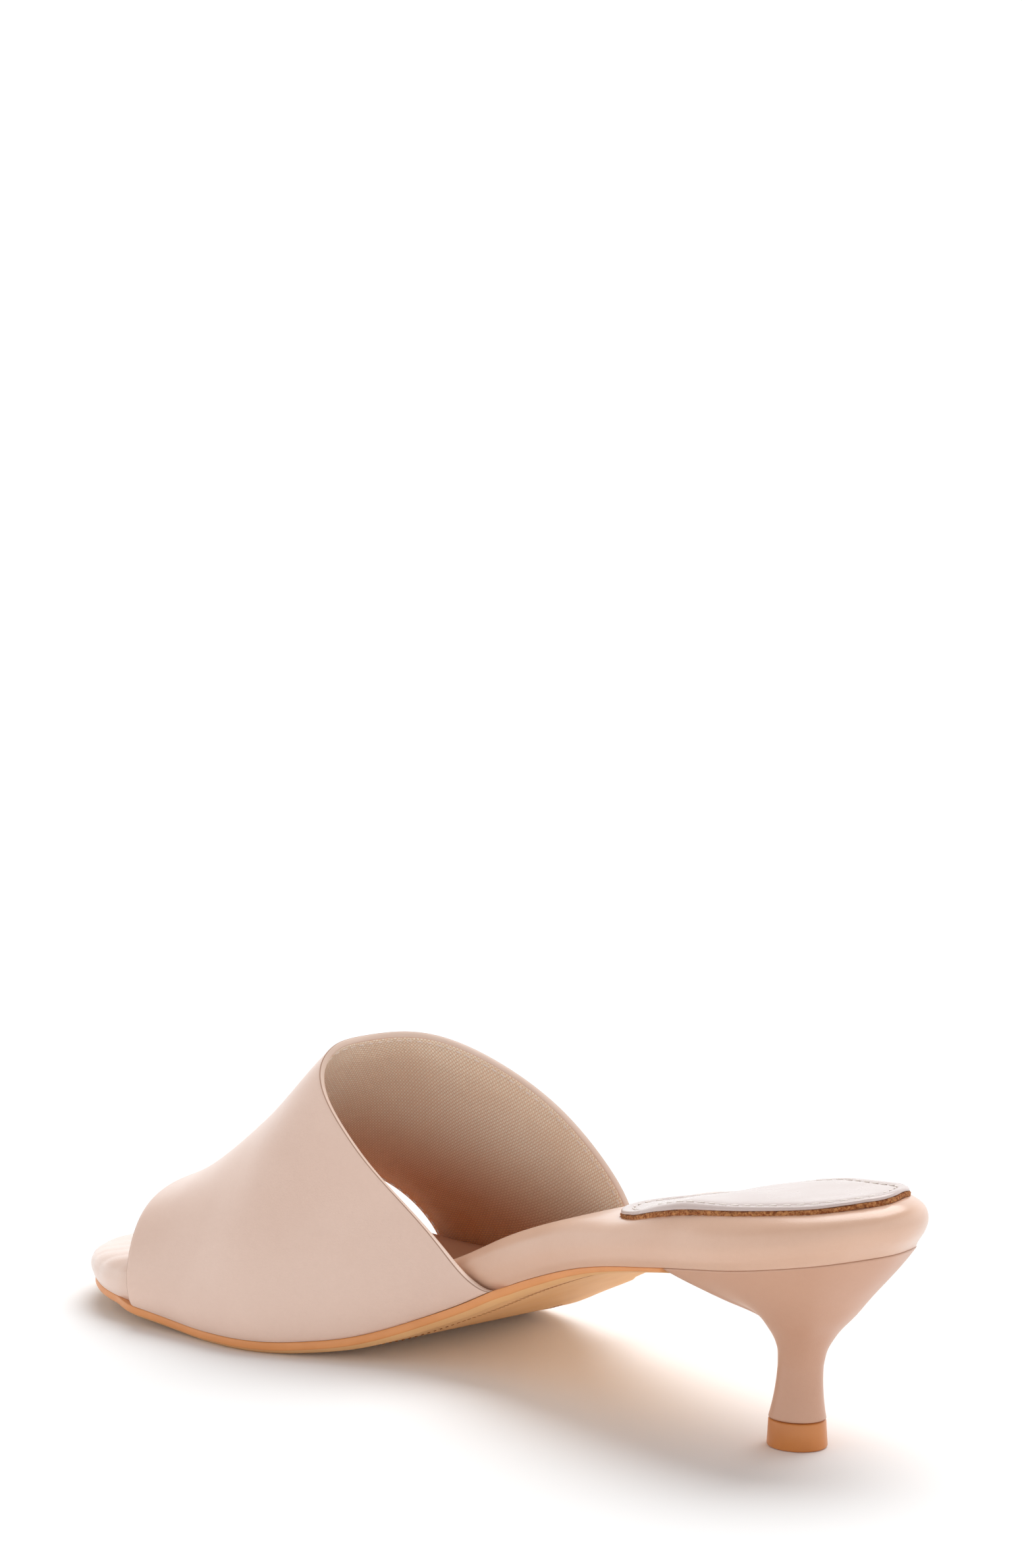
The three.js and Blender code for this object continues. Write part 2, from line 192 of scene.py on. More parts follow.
# Flow of the heel's side from the seat, at 1, down to the waist, at 0
FLOW_ROWS = table(
    "along back front",
    (0.0, 1.0, 1.0),
    (0.1, 0.9, 0.85),
    (0.22, 0.765, 0.65),
    (0.34, 0.62, 0.44),
    (0.45, 0.49, 0.22),
    (0.53, 0.405, 0.11),
    (0.61, 0.31, 0.06),
    (0.69, 0.2, 0.03),
    (0.78, 0.11, 0.01),
    (0.88, 0.035, 0.0),
    (1.0, 0.0, 0.0),
)
FLOW_FRONT_FROM = -0.35
FLOW_FRONT_TO = 0.6
FLOW_FRONT_EASE = 1.5


# Curves and shares


def clamp(value):
    return np.clip(value, 0.0, 1.0)


def smooth(value):
    t = clamp(value)
    return t * t * (3 - 2 * t)


def mix(start, end, share):
    return start + (end - start) * share


def curve_through(rows, column):
    """A smooth curve through one column of a table, without overshoot and straight past both ends."""
    at = np.array([row["along"] for row in rows])
    value = np.array([row[column] for row in rows])
    rate = np.diff(value) / np.diff(at)
    slope = np.empty(len(at))
    slope[0], slope[-1] = rate[0], rate[-1]
    before, after = rate[:-1], rate[1:]
    same = before * after > 0
    total = np.where(same, before + after, 1.0)
    slope[1:-1] = np.where(same, 2 * before * after / total, 0.0)

    def curve(along):
        place = np.asarray(along, float)
        i = np.clip(np.searchsorted(at, place) - 1, 0, len(at) - 2)
        width = at[i + 1] - at[i]
        t = (place - at[i]) / width
        start = (1 + 2 * t) * (1 - t) ** 2 * value[i] + t * (1 - t) ** 2 * width * slope[i]
        inside = start + t**2 * (3 - 2 * t) * value[i + 1] + t**2 * (t - 1) * width * slope[i + 1]
        low = value[0] + slope[0] * (place - at[0])
        high = value[-1] + slope[-1] * (place - at[-1])
        return np.where(place <= at[0], low, np.where(place >= at[-1], high, inside))

    return curve


def eased(curve, low, high, blur):
    """The same curve with its bends spread out, because leather shows every kink."""
    margin = 4 * blur
    place = np.linspace(low - margin, high + margin, CURVE_STEPS)
    value = curve(place)
    reach = int(3 * blur / (place[1] - place[0]))
    window = np.exp(-0.5 * (np.arange(-reach, reach + 1) * (place[1] - place[0]) / blur) ** 2)
    window /= window.sum()
    padded = np.concatenate([
        2 * value[0] - value[reach:0:-1], value, 2 * value[-1] - value[-2:-reach - 2:-1]])
    blurred = np.convolve(padded, window, mode="valid")
    return lambda along: np.interp(along, place, blurred)


def curves(rows, columns, blur, low=0.0):
    """Eased curves through the named columns of a table."""
    return [eased(curve_through(rows, column), low, 1, blur) for column in columns.split()]


CURVE_STEPS = 1600
LINE_BLUR = 0.012
SIDE_BLUR = 0.03
width_share, shift_share, thick_share, roll_share, soft_share = curves(
    OUTLINE_ROWS, "width shift thick roll soft", LINE_BLUR)
shank_rise, = curves(SHANK_ROWS, "rise", LINE_BLUR)
spring_rise, = curves(SPRING_ROWS, "rise", LINE_BLUR)
crest_share, crest_shift, inner_fullness, outer_fullness = curves(
    ARCH_ROWS, "crest shift inner outer", LINE_BLUR, low=0.4)
roll_at, = curves(ROLL_ROWS, "roll", SIDE_BLUR)
soft_at = curve_through(ROLL_ROWS, "soft")
flow_back, flow_front = curves(FLOW_ROWS, "back front", SIDE_BLUR)


# The shoe's own lines

# Steps, as shares of a way or as angles, over which slopes are taken
SLOPE_STEP = 0.004
RIM_STEP = 0.002
ROUND_STEP = 0.012
INSET_STEP = 0.03
SOCK_STEP = 0.01


def round_end(share):
    return np.sqrt(1 - (1 - clamp(share)) ** 2)


def lengthwise(along):
    return FOOTBED_LENGTH * along - HEEL_SETBACK


def alongside(x):
    return (x + HEEL_SETBACK) / FOOTBED_LENGTH


def edge_y(along, side):
    ends = round_end(along / HEEL_ROUND) * round_end((1 - along) / TOE_ROUND)
    return BALL_WIDTH * (shift_share(along) + side * width_share(along) * ends / 2)


def seat_line(along):
    return SOLE_THICKNESS + SEAT_RISE * shank_rise(along) + TOE_SPRING * spring_rise(along)


def seat_slope(along):
    low, high = along - SLOPE_STEP, along + SLOPE_STEP
    return (seat_line(high) - seat_line(low)) / (2 * SLOPE_STEP * FOOTBED_LENGTH)


def lifted(x, y, height):
    """Points over the seat line, at heights measured square to it."""
    along = alongside(x)
    slope = seat_slope(along)
    rise = height / np.hypot(1, slope)
    return np.stack(np.broadcast_arrays(x - rise * slope, y, seat_line(along) + rise), axis=-1)


def along_at(turn):
    return (1 - np.cos(np.pi * turn)) / 2


def turn_at(along):
    return math.acos(1 - 2 * along) / math.pi


def rim(turn, side, out):
    """Plan points of the footbed's outline, moved outwards."""
    def place(t):
        along = along_at(clamp(t))
        return lengthwise(along), edge_y(along, side)

    ahead_x, ahead_y = np.subtract(place(turn + RIM_STEP), place(turn - RIM_STEP))
    length = np.hypot(ahead_x, ahead_y)
    x, y = place(turn)
    return x - out * side * ahead_y / length, y + out * side * ahead_x / length


def step_out(along, side):
    """How far the sole steps out, because the upper's wall runs down beside the footbed."""
    name = "inner" if side == INNER else "outer"
    start, end = REAR_EDGE[name], FRONT_EDGE[name]
    cover = smooth((along - start) / STEP_LENGTH + 1) * smooth((end - along) / FRONT_STEP_LENGTH + 1)
    return cover * (UPPER_WALL + GAP)


def turns_between(first, last, count):
    start = 0.5 / count if first == 0 else 0.0
    end = 1 - 0.5 / count if last == 1 else 1.0
    return first + (last - first) * np.linspace(start, end, count)


# Meshes


def tube_faces(rows, columns):
    """Four-sided faces of a grid whose rows are joined round."""
    i, j = np.meshgrid(np.arange(rows - 1), np.arange(columns), indexing="ij")
    across = (j + 1) % columns
    faces = np.stack([i * columns + j, i * columns + across,
                      (i + 1) * columns + across, (i + 1) * columns + j], axis=-1)
    return faces.reshape(-1, 4).tolist()


def signed_volume(points, faces):
    total = 0.0
    for face in faces:
        a = points[face[0]]
        for second, third in zip(face[1:-1], face[2:]):
            total += float(np.dot(a, np.cross(points[second], points[third])))
    return total


def shell(name, points, faces, material, uv=None):
    """A smooth mesh in metres from points in millimetres, with its faces turned out."""
    points = np.asarray(points, float).reshape(-1, 3)
    if signed_volume(points, faces) < 0:
        faces = [face[::-1] for face in faces]
    mesh = bpy.data.meshes.new(name)
    mesh.from_pydata((points * MM).tolist(), [], faces)
    mesh.polygons.foreach_set("use_smooth", np.ones(len(mesh.polygons), bool))
    if uv is not None:
        layer = mesh.uv_layers.new(name="millimetres")
        corner = np.empty(len(mesh.loops), np.int32)
        mesh.loops.foreach_get("vertex_index", corner)
        layer.data.foreach_set("uv", np.asarray(uv, np.float32).reshape(-1, 2)[corner].ravel())
    mesh.materials.append(material)
    mesh.update()
    piece = bpy.data.objects.new(name, mesh)
    bpy.context.scene.collection.objects.link(piece)
    return piece


def dress(piece, slot, *nodes):
    """Rides a piece on the one body, in the place of its solids."""
    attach(piece, "root")
    if nodes:
        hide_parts(*nodes)
    return piece


def loop_of(turns, place):
    """A closed loop of points: up the inner side and back down the outer side."""
    inner = place(turns, INNER)
    outer = place(turns, OUTER)
    return np.concatenate([inner, outer[::-1]])


def capped(rings, count, cells, lift=None):
    """Points and faces of a solid through a stack of loops, with a grid over each end.

    The grid runs in strips from the inner to the outer side, and lift raises the top one's points.
    """
    ring_points = 2 * count
    points = [np.concatenate(rings)]
    faces = tube_faces(len(rings), ring_points)
    total = len(points[0])
    share = np.linspace(0, 1, cells + 1)[1:-1]
    for at_top in (False, True):
        ring = rings[-1] if at_top else rings[0]
        start = (len(rings) - 1) * ring_points if at_top else 0
        inner = ring[:count]
        outer = ring[count:][::-1]
        inside = inner[:, None] + (outer - inner)[:, None] * share[None, :, None]
        if at_top and lift:
            inside[..., 2] += lift(inside, share)
        number = np.empty((count, cells + 1), int)
        number[:, 0] = start + np.arange(count)
        number[:, -1] = start + ring_points - 1 - np.arange(count)
        number[:, 1:-1] = total + np.arange(count * (cells - 1)).reshape(count, cells - 1)
        quads = np.stack([number[:-1, :-1], number[:-1, 1:], number[1:, 1:], number[1:, :-1]], axis=-1)
        quads = quads.reshape(-1, 4)
        faces += (quads[:, ::-1] if at_top else quads).tolist()
        points.append(inside.reshape(-1, 3))
        total += count * (cells - 1)
        for i, row in ((0, number[0]), (count - 1, number[-1])):
            faces.append(row.tolist() if (i == 0) == at_top else row.tolist()[::-1])
    return np.concatenate(points), faces


def stacked(rings):
    """Points and faces of a solid through a stack of loops, with one flat face over each end."""
    count = len(rings[0])
    faces = tube_faces(len(rings), count)
    faces.append(list(range(count))[::-1])
    faces.append(list(range((len(rings) - 1) * count, len(rings) * count)))
    return np.concatenate(rings), faces


def arc_length(path):
    steps = np.linalg.norm(np.diff(path, axis=0), axis=1)
    return np.concatenate([[0], np.cumsum(steps)])


def on_path(place, arc, path):
    return np.array([np.interp(place, arc, path[:, k]) for k in range(3)])


# Colours and shader groups


def paint(red, green, blue):
    """A colour as it is seen, from 0 to 255, as the shader wants it."""
    def linear(value):
        share = value / 255
        return share / 12.92 if share <= 0.04045 else ((share + 0.055) / 1.055) ** 2.4

    return (linear(red), linear(green), linear(blue), 1.0)


class Board:
    """A node tree, with short ways to add nodes and to join them."""

    def __init__(self, tree):
        self.tree = tree

    def node(self, kind, **settings):
        made = self.tree.nodes.new(kind)
        for name, value in settings.items():
            setattr(made, name, value)
        return made

    def feed(self, target, **sources):
        """Sets sockets by name, with _ for a space, or by number as i0, and joins or fills them."""
        for name, source in sources.items():
            socket = target.inputs[int(name[1:])] if name[0] == "i" and name[1:].isdigit() else (
                target.inputs[name.replace("_", " ")])
            if isinstance(source, bpy.types.NodeSocket):
                self.tree.links.new(source, socket)
            else:
                socket.default_value = source
        return target

    def math(self, operation, first, second=0.5, third=0.0):
        made = self.node("ShaderNodeMath", operation=operation)
        return self.feed(made, i0=first, i1=second, i2=third).outputs[0]

    def spread(self, value, low, high, start=0.0, end=1.0):
        made = self.node("ShaderNodeMapRange", interpolation_type="SMOOTHSTEP")
        self.feed(made, Value=value, From_Min=low, From_Max=high, To_Min=start, To_Max=end)
        return made.outputs["Result"]

    def blend(self, first, second, share):
        made = self.node("ShaderNodeMix", data_type="RGBA")
        self.feed(made, i0=share, i6=first, i7=second)
        return made.outputs[2]

    def noise(self, vector, scale, detail=2.0, roughness=0.5):
        made = self.node("ShaderNodeTexNoise")
        self.feed(made, Vector=vector, Scale=scale, Detail=detail, Roughness=roughness)
        return made.outputs["Fac"]

    def split(self, vector):
        return self.feed(self.node("ShaderNodeSeparateXYZ"), i0=vector).outputs

    def bump(self, strength, distance, height):
        made = self.node("ShaderNodeBump")
        return self.feed(made, Strength=strength, Distance=distance, Height=height).outputs["Normal"]

    def placed(self, tree, **sources):
        """A shader group, placed here with its own values."""
        return self.feed(self.node("ShaderNodeGroup", node_tree=tree), **sources).outputs


def group(name, place, amount, usual, *results):
    """An empty shader group that takes a place and an amount, and gives out plain values."""
    tree = bpy.data.node_groups.new(name, "ShaderNodeTree")
    tree.interface.new_socket(name=place, in_out="INPUT", socket_type="NodeSocketVector")
    socket = tree.interface.new_socket(name=amount, in_out="INPUT", socket_type="NodeSocketFloat")
    socket.default_value = usual
    for label in results:
        tree.interface.new_socket(name=label, in_out="OUTPUT", socket_type="NodeSocketFloat")
    board = Board(tree)
    given = board.node("NodeGroupInput").outputs
    return board, given[place], given[amount], board.node("NodeGroupOutput")


def leather_grain_group():
    """Fine pores and pebbles of smooth leather, with their height and their tone."""
    board, place, pebbles, result = group(
        "leather_grain", "Vector", "Pebbles per metre", 1600.0, "Height", "Tone")
    cells = board.node("ShaderNodeTexVoronoi", feature="DISTANCE_TO_EDGE")
    board.feed(cells, Vector=place, Scale=pebbles)
    pebble = board.spread(cells.outputs["Distance"], 0.0, 0.22)
    fine = board.noise(place, 5200.0, 3.0, 0.6)
    broad = board.noise(place, 420.0, 3.0, 0.55)
    height = board.math("MULTIPLY_ADD", pebble, 0.45, board.math("MULTIPLY", fine, 0.35))
    height = board.math("MULTIPLY_ADD", broad, 0.6, height)
    board.feed(result, Height=height, Tone=board.noise(place, 900.0, 4.0, 0.65))
    return board.tree


def soft_patches_group():
    """Broad, slow patches where hide takes up a little more colour and wax."""
    board, place, patches, result = group(
        "soft_patches", "Vector", "Patches per metre", 38.0, "Tone", "Sheen")
    tone = board.noise(place, patches, 3.0, 0.5)
    shine = board.noise(place, 95.0, 2.0, 0.5)
    board.feed(result, Tone=board.spread(tone, 0.32, 0.68), Sheen=board.spread(shine, 0.3, 0.7))
    return board.tree


def plain_weave_group():
    """Over and under of a canvas, from a place in millimetres. Its tone is its height, so the hollows between
    threads carry painted shade.
    """
    board, place, thread, result = group("plain_weave", "Place", "Thread", 0.62, "Height", "Tone")
    split = board.split(place)
    swings = []
    for axis in ("X", "Y"):
        turns = board.math("DIVIDE", split[axis], thread)
        swings.append(board.math("SINE", board.math("MULTIPLY", turns, math.pi)))
    crossing = board.math("MULTIPLY", *swings)
    thread_round = board.math("POWER", board.math("ABSOLUTE", crossing), 0.55)
    lean = board.math("MULTIPLY_ADD", board.math("SIGN", crossing), 0.16, 0.84)
    height = board.math("MULTIPLY", thread_round, lean)
    fuzz = board.noise(place, 2.6, 3.0, 0.7)
    height = board.math("MULTIPLY_ADD", fuzz, 0.25, height)
    # Tone follows height: painted shade in the hollows between the threads.
    board.feed(result, Height=height, Tone=height)
    return board.tree


GRAIN = leather_grain_group()
PATCHES = soft_patches_group()
WEAVE = plain_weave_group()


def new_material(name):
    material = bpy.data.materials.new(name)
    material.use_nodes = True
    board = Board(material.node_tree)
    shader = material.node_tree.nodes["Principled BSDF"]
    place = board.node("ShaderNodeTexCoord").outputs
    return material, board, shader, place


# Hide: patches in a metre, how far its gloss swings, and how far grain and patches move its tone
HIDE_PATCHES = 38.0
HIDE_GLOSS_SWING = 0.07
GRAIN_TONE = 0.35
PATCH_TONE = 0.4
GRAIN_HEIGHT = 0.0002


def leather(name, colour, shade, roughness, grain, pebbles, coat, coat_rough, pale=None):
    """Smooth dyed leather: a grain, slow patches of tone and a satin finish that they break up.

    Where pale is given as (low, high, colour), the hide turns to that colour along X, in metres: a painted
    highlight, in place of light glaring on it.
    """
    material, board, shader, place = new_material(name)
    grained = board.placed(GRAIN, Vector=place["Object"], Pebbles_per_metre=pebbles)
    patched = board.placed(PATCHES, Vector=place["Object"], Patches_per_metre=HIDE_PATCHES)
    patch_tone = board.math("MULTIPLY", patched["Tone"], PATCH_TONE)
    base = board.blend(colour, shade, board.math("MULTIPLY_ADD", grained["Tone"], GRAIN_TONE, patch_tone))
    # Painted highlight: the hide is painted paler along X, where the light glares on it.
    if pale:
        low, high, painted_highlight_colour = pale
        base = board.blend(base, painted_highlight_colour, board.spread(board.split(place["Object"])["X"], low, high))
    rough = board.math("MULTIPLY_ADD", patched["Sheen"], HIDE_GLOSS_SWING, roughness)
    normal = board.bump(grain, GRAIN_HEIGHT, grained["Height"])
    board.feed(shader, Base_Color=base, Roughness=rough, Normal=normal)
    board.feed(shader, Coat_Weight=coat, Coat_Roughness=coat_rough)
    return material


# Painted shade: the lining turns from a deep shaded tone to its pale lit one upwards and towards the rear
# edge, in metres
LINING_SHADE_REARWARD = 0.35
LINING_SHADE_FULL = -0.034
LINING_SHADE_GONE = 0.002


def canvas_material():
    """The woven lining under the band, painted darker low in the band's hollow as painted shade."""
    material, board, shader, place = new_material("canvas lining")
    woven = board.placed(WEAVE, Place=place["UV"])
    patched = board.placed(PATCHES, Vector=place["Object"], Patches_per_metre=60.0)
    # Thread tone from the weave's height: the gaps between threads get painted shade.
    thread = board.spread(woven["Tone"], 0.05, 0.95)
    split = board.split(place["Object"])
    # Painted shade low in the band, fading out upwards and towards the rear edge where the band opens.
    out_of_shade = board.math("MULTIPLY_ADD", split["X"], -LINING_SHADE_REARWARD, split["Z"])
    painted_shade_tone = board.blend(paint(182, 94, 36), paint(226, 146, 72), thread)
    pale = board.blend(paint(228, 186, 150), paint(255, 246, 228), thread)
    base = board.blend(painted_shade_tone, pale, board.spread(out_of_shade, LINING_SHADE_FULL, LINING_SHADE_GONE))
    base = board.blend(base, paint(226, 186, 150), board.math("MULTIPLY", patched["Tone"], 0.2))
    normal = board.bump(0.7, 0.00025, woven["Height"])
    board.feed(shader, Base_Color=base, Roughness=0.85, Normal=normal)
    board.feed(shader, Sheen_Weight=0.25, Sheen_Roughness=0.5)
    return material


def cork_material():
    """The raw fibre edge of the board under the heel sock."""
    material, board, shader, place = new_material("raw board edge")
    flecks = board.noise(place["Object"], 1500.0, 5.0, 0.7)
    strands = board.node("ShaderNodeTexVoronoi", feature="F1")
    board.feed(strands, Vector=place["Object"], Scale=1300.0)
    base = board.blend(paint(150, 78, 32), paint(214, 148, 92), board.spread(flecks, 0.38, 0.62))
    height = board.math("ADD", flecks, strands.outputs["Distance"])
    board.feed(shader, Base_Color=base, Roughness=0.95, Normal=board.bump(0.9, 0.0006, height))
    return material


def plain_material(name, colour, shade, roughness, coat=0.0):
    """A moulded or painted face: even colour, broken a little by fine wear."""
    material, board, shader, place = new_material(name)
    patched = board.placed(PATCHES, Vector=place["Object"], Patches_per_metre=120.0)
    fine = board.noise(place["Object"], 2400.0, 3.0, 0.6)
    base = board.blend(colour, shade, board.math("MULTIPLY", patched["Tone"], 0.55))
    rough = board.math("MULTIPLY_ADD", patched["Sheen"], 0.1, roughness)
    board.feed(shader, Base_Color=base, Roughness=rough, Normal=board.bump(0.08, 0.0002, fine))
    board.feed(shader, Coat_Weight=coat, Coat_Roughness=0.25)
    return material


def thread_material(name, colour):
    material, board, shader, place = new_material(name)
    wave = board.noise(place["Object"], 3800.0, 2.0, 0.6)
    base = board.blend(colour, paint(206, 180, 164), board.math("MULTIPLY", wave, 0.5))
    board.feed(shader, Base_Color=base, Roughness=0.6, Sheen_Weight=0.3)
    return material


UPPER_LEATHER = leather("band leather", paint(230, 199, 182), paint(218, 184, 166), 0.36,
                        grain=0.16, pebbles=1500.0, coat=0.6, coat_rough=0.3)
# The footbed's toe is painted paler from X 0.15 m to 0.19 m: a painted highlight for the light's glare on the
# toe.
FOOTBED_LEATHER = leather("footbed leather", paint(221, 182, 158), paint(210, 167, 141), 0.31,
                          grain=0.12, pebbles=1700.0, coat=0.45, coat_rough=0.22,
                          pale=(0.15, 0.19, paint(232, 206, 192)))
HEEL_LEATHER = leather("heel leather", paint(206, 161, 135), paint(195, 147, 121), 0.34,
                       grain=0.08, pebbles=1900.0, coat=0.2, coat_rough=0.3)
SOCK_LEATHER = leather("sock leather", paint(202, 185, 180), paint(194, 174, 167), 0.26,
                       grain=0.1, pebbles=1800.0, coat=0.4, coat_rough=0.18)
EDGE_PAINT = plain_material("edge paint", paint(224, 198, 182), paint(216, 187, 169), 0.45)
EDGE_LINE = plain_material("burnished edge line", paint(180, 144, 124), paint(168, 130, 110), 0.5)
CANVAS = canvas_material()
CORK = cork_material()
SOLE_TAN = plain_material("sole tan", paint(226, 152, 92), paint(216, 141, 80), 0.42, coat=0.1)
# A paler copy of the sole's tan for the down-facing chamfer and bottom: painted light, for light bounced up
# from the floor.
SOLE_UNDER_PAINTED_LIGHT = plain_material("sole underside", paint(238, 188, 132), paint(230, 176, 118), 0.55)
SOLE_MARK = plain_material("sole mark", paint(170, 108, 62), paint(160, 98, 54), 0.6)
LIFT_TAN = plain_material("lift tan", paint(206, 130, 66), paint(190, 116, 56), 0.35, coat=0.15)
PALE_THREAD = thread_material("pale thread", paint(240, 228, 220))
SOCK_THREAD = thread_material("white thread", paint(250, 244, 238))


# The band over the forefoot. Round it, an angle runs from 0 at the inner foot to pi at the outer foot

# How far the band's bends are eased, as an angle, and the shares that each place round about gives
ARCH_EASE = 0.12
ARCH_EASE_RISE = 0.5
EDGE_EASE = 0.16
EDGE_EASE_RISE = 0.6
EASE_WEIGHTS = [(-1.0, 0.06), (-0.66, 0.14), (-0.33, 0.2), (0.0, 0.2), (0.33, 0.2), (0.66, 0.14), (1.0, 0.06)]


def eased_round(place, angle, most, rise):
    """A place round the band, averaged over the angles near it, but not at its feet."""
    reach = most * smooth(np.sin(np.clip(angle, 0, np.pi)) / rise)
    return sum(weight * place(angle + step * reach) for step, weight in EASE_WEIGHTS)


def edge_along(edge, angle):
    """Section of an open edge at an angle, with the meeting of its two sides eased over the crest."""
    angle = np.asarray(angle, float)
    return eased_round(lambda turned: plain_edge_along(edge, turned), angle, EDGE_EASE, EDGE_EASE_RISE)


def plain_edge_along(edge, angle):
    lean = np.cos(angle)
    foot = np.where(lean >= 0, edge["inner"], edge["outer"])
    turn = np.where(lean >= 0, edge["inner_turn"], edge["outer_turn"])
    return mix(edge["crest"], foot, np.abs(lean) ** turn)


def arch_point(along, angle):
    """Outer surface of the band, with its cross-section eased as stretched leather eases it."""
    along, angle = np.broadcast_arrays(np.asarray(along, float), np.asarray(angle, float))
    return eased_round(lambda turned: plain_arch_point(along, turned), angle, ARCH_EASE, ARCH_EASE_RISE)


def plain_arch_point(along, angle):
    """Outer surface of the band at a section and an angle, 0 at the inner foot and pi at the outer."""
    along, angle = np.broadcast_arrays(np.asarray(along, float), np.asarray(angle, float))
    lean = np.cos(angle)
    lift = np.maximum(np.sin(angle), 0)
    side = np.where(lean >= 0, INNER, OUTER)
    foot_y = np.where(lean >= 0, edge_y(along, INNER), edge_y(along, OUTER)) + side * (UPPER_WALL + GAP)
    foot_z = seat_line(along) + SEEN_GAP
    crest_y = BALL_WIDTH * crest_shift(along)
    crest_z = INSTEP_HEIGHT * crest_share(along)
    side_fullness = np.where(lean >= 0, inner_fullness(along), outer_fullness(along))
    fullness = mix(side_fullness, CREST_FULLNESS, lift**CREST_REACH)
    height = (crest_z - foot_z) * lift ** (2 / fullness)
    belly = BELLY_OUT * np.sin(np.pi * clamp(height / BELLY_HEIGHT) ** BELLY_LOWNESS)
    y = mix(crest_y, foot_y, np.abs(lean) ** (2 / fullness)) + side * belly
    return np.stack([lengthwise(along), y, foot_z + height], axis=-1)


def unit(vector):
    return vector / np.linalg.norm(vector, axis=-1, keepdims=True)


def arch_normal(along, angle):
    low = np.maximum(angle - ROUND_STEP, 0)
    high = np.minimum(angle + ROUND_STEP, np.pi)
    forward = arch_point(along + SLOPE_STEP, angle) - arch_point(along - SLOPE_STEP, angle)
    across = arch_point(along, high) - arch_point(along, low)
    return unit(np.cross(across, forward))


# Nearer to a foot than this angle, the wall keeps the direction that it has there
FOOT_TURN = 0.22


def band_point(along, angle, depth):
    """A point of the band under its outer surface, kept clear of the sole and flat on it at both feet."""
    square = arch_normal(along, np.clip(angle, FOOT_TURN, np.pi - FOOT_TURN))
    point = arch_point(along, angle) - square * np.asarray(depth)[..., None]
    ground = alongside(point[..., 0])
    floor = seat_line(ground) + SEEN_GAP * np.hypot(1, seat_slope(ground))
    at_foot = (angle <= 0) | (angle >= np.pi)
    point[..., 2] = np.where(at_foot, floor, np.maximum(point[..., 2], floor))
    return point


def edge_inset(edge, angle, distance):
    """The section that lies a distance in from an open edge, measured square to it."""
    along = edge_along(edge, angle)
    low = np.maximum(angle - INSET_STEP, 0)
    high = np.minimum(angle + INSET_STEP, np.pi)
    trail = unit(arch_point(edge_along(edge, high), high) - arch_point(edge_along(edge, low), low))
    forward = arch_point(along + INSET_STEP, angle) - arch_point(along - INSET_STEP, angle)
    forward /= 2 * INSET_STEP
    side = forward - trail * np.sum(forward * trail, axis=-1, keepdims=True)
    return along + distance / np.linalg.norm(side, axis=-1)


BAND_ROUND = 200
BAND_LONG = 60
EDGE_WALL = 1.45
EDGE_THINS = 8
FEET_CLOSER = 0.35
CORNER = 0.2

# The cut edge in profile: how far in from the edge and how deep under the outer face, in millimetres
CUT_EDGE = [
    (0.9, 0.0),
    (CORNER, 0.0),
    (CORNER * 0.4, CORNER * 0.2),
    (0.0, CORNER * 0.9),
    (-0.05, EDGE_WALL * 0.3),
    (-0.07, EDGE_WALL * 0.6),
    (0.0, EDGE_WALL - CORNER),
    (CORNER * 0.4, EDGE_WALL - CORNER * 0.3),
    (CORNER * 1.2, EDGE_WALL),
]
LINE_ROWS = slice(1, 3)
RIM_ROWS = slice(3, 8)

# The lining: how far in from the cut edge, how far it stands in from the wall, and its buried back
LINING_IN = 0.42
LINING_UP = 0.2
LINING_SUNK = 0.4
LINING_FOOT = 0.1


def band_angles(count):
    """Angles with sections closer near both feet, where the wall turns fastest."""
    share = np.linspace(0, 1, count)
    return np.pi * clamp(mix(share, along_at(share), FEET_CLOSER))


def band_wall(share):
    """The wall between its two thin edges, as a share of the way over the band."""
    return mix(EDGE_WALL, UPPER_WALL, smooth(share * EDGE_THINS) * smooth((1 - share) * EDGE_THINS))


def close_ends(faces, rows, columns, fold):
    """Closes both feet with strips across the wall. Two facing columns' numbers add up to fold."""
    for first in (0, (rows - 1) * columns):
        for k in range(fold // 2 - columns // 2, fold // 2):
            corners = [k % columns, (k + 1) % columns, (fold - k - 1) % columns, (fold - k) % columns]
            face = list(dict.fromkeys(first + corner for corner in corners))
            faces.append(face[::-1] if first else face)
    return faces


def band_skin(angle, profile, outer_depth, inner_depth):
    """Points and faces of a closed skin that goes out over the band, round both its edges and back.

    The profile has (inset, depth) rows round an edge, and both depths follow the share over the band.
    """
    angle = angle[:, None]
    rear = [edge_inset(REAR_EDGE, angle, inset) for inset, _ in profile]
    front = [edge_inset(FRONT_EDGE, angle, -inset) for inset, _ in profile]
    share = np.linspace(0, 1, BAND_LONG)[1:-1]
    outside = mix(front[0], rear[0], share)
    inside = mix(rear[-1], front[-1], share)
    along = np.concatenate([outside, *rear, inside, *front[::-1]], axis=1)
    deep = [depth for _, depth in profile]
    depth = np.concatenate([outer_depth(share), deep, inner_depth(share), deep[::-1]])
    points = band_point(along, angle + np.zeros_like(along), depth + np.zeros_like(along))
    rows, columns = along.shape
    fold = 2 * len(share) + len(profile) - 1
    return points, close_ends(tube_faces(rows, columns), rows, columns, fold), along


def make_band():
    points, faces, along = band_skin(band_angles(BAND_ROUND), CUT_EDGE, np.zeros_like, band_wall)
    band = shell("band", points, faces, UPPER_LEATHER)
    band.data.materials.append(EDGE_LINE)
    band.data.materials.append(EDGE_PAINT)
    rows, columns = along.shape
    finish = np.zeros(columns, np.int32)
    for painted, index in ((LINE_ROWS, 1), (RIM_ROWS, 2)):
        finish[BAND_LONG - 2:][painted] = index
        finish[::-1][1:][painted] = index
    of_faces = np.concatenate([np.tile(finish, rows - 1), np.zeros(columns, np.int32)])
    band.data.polygons.foreach_set("material_index", of_faces)
    dress(band, "upper", "upper")


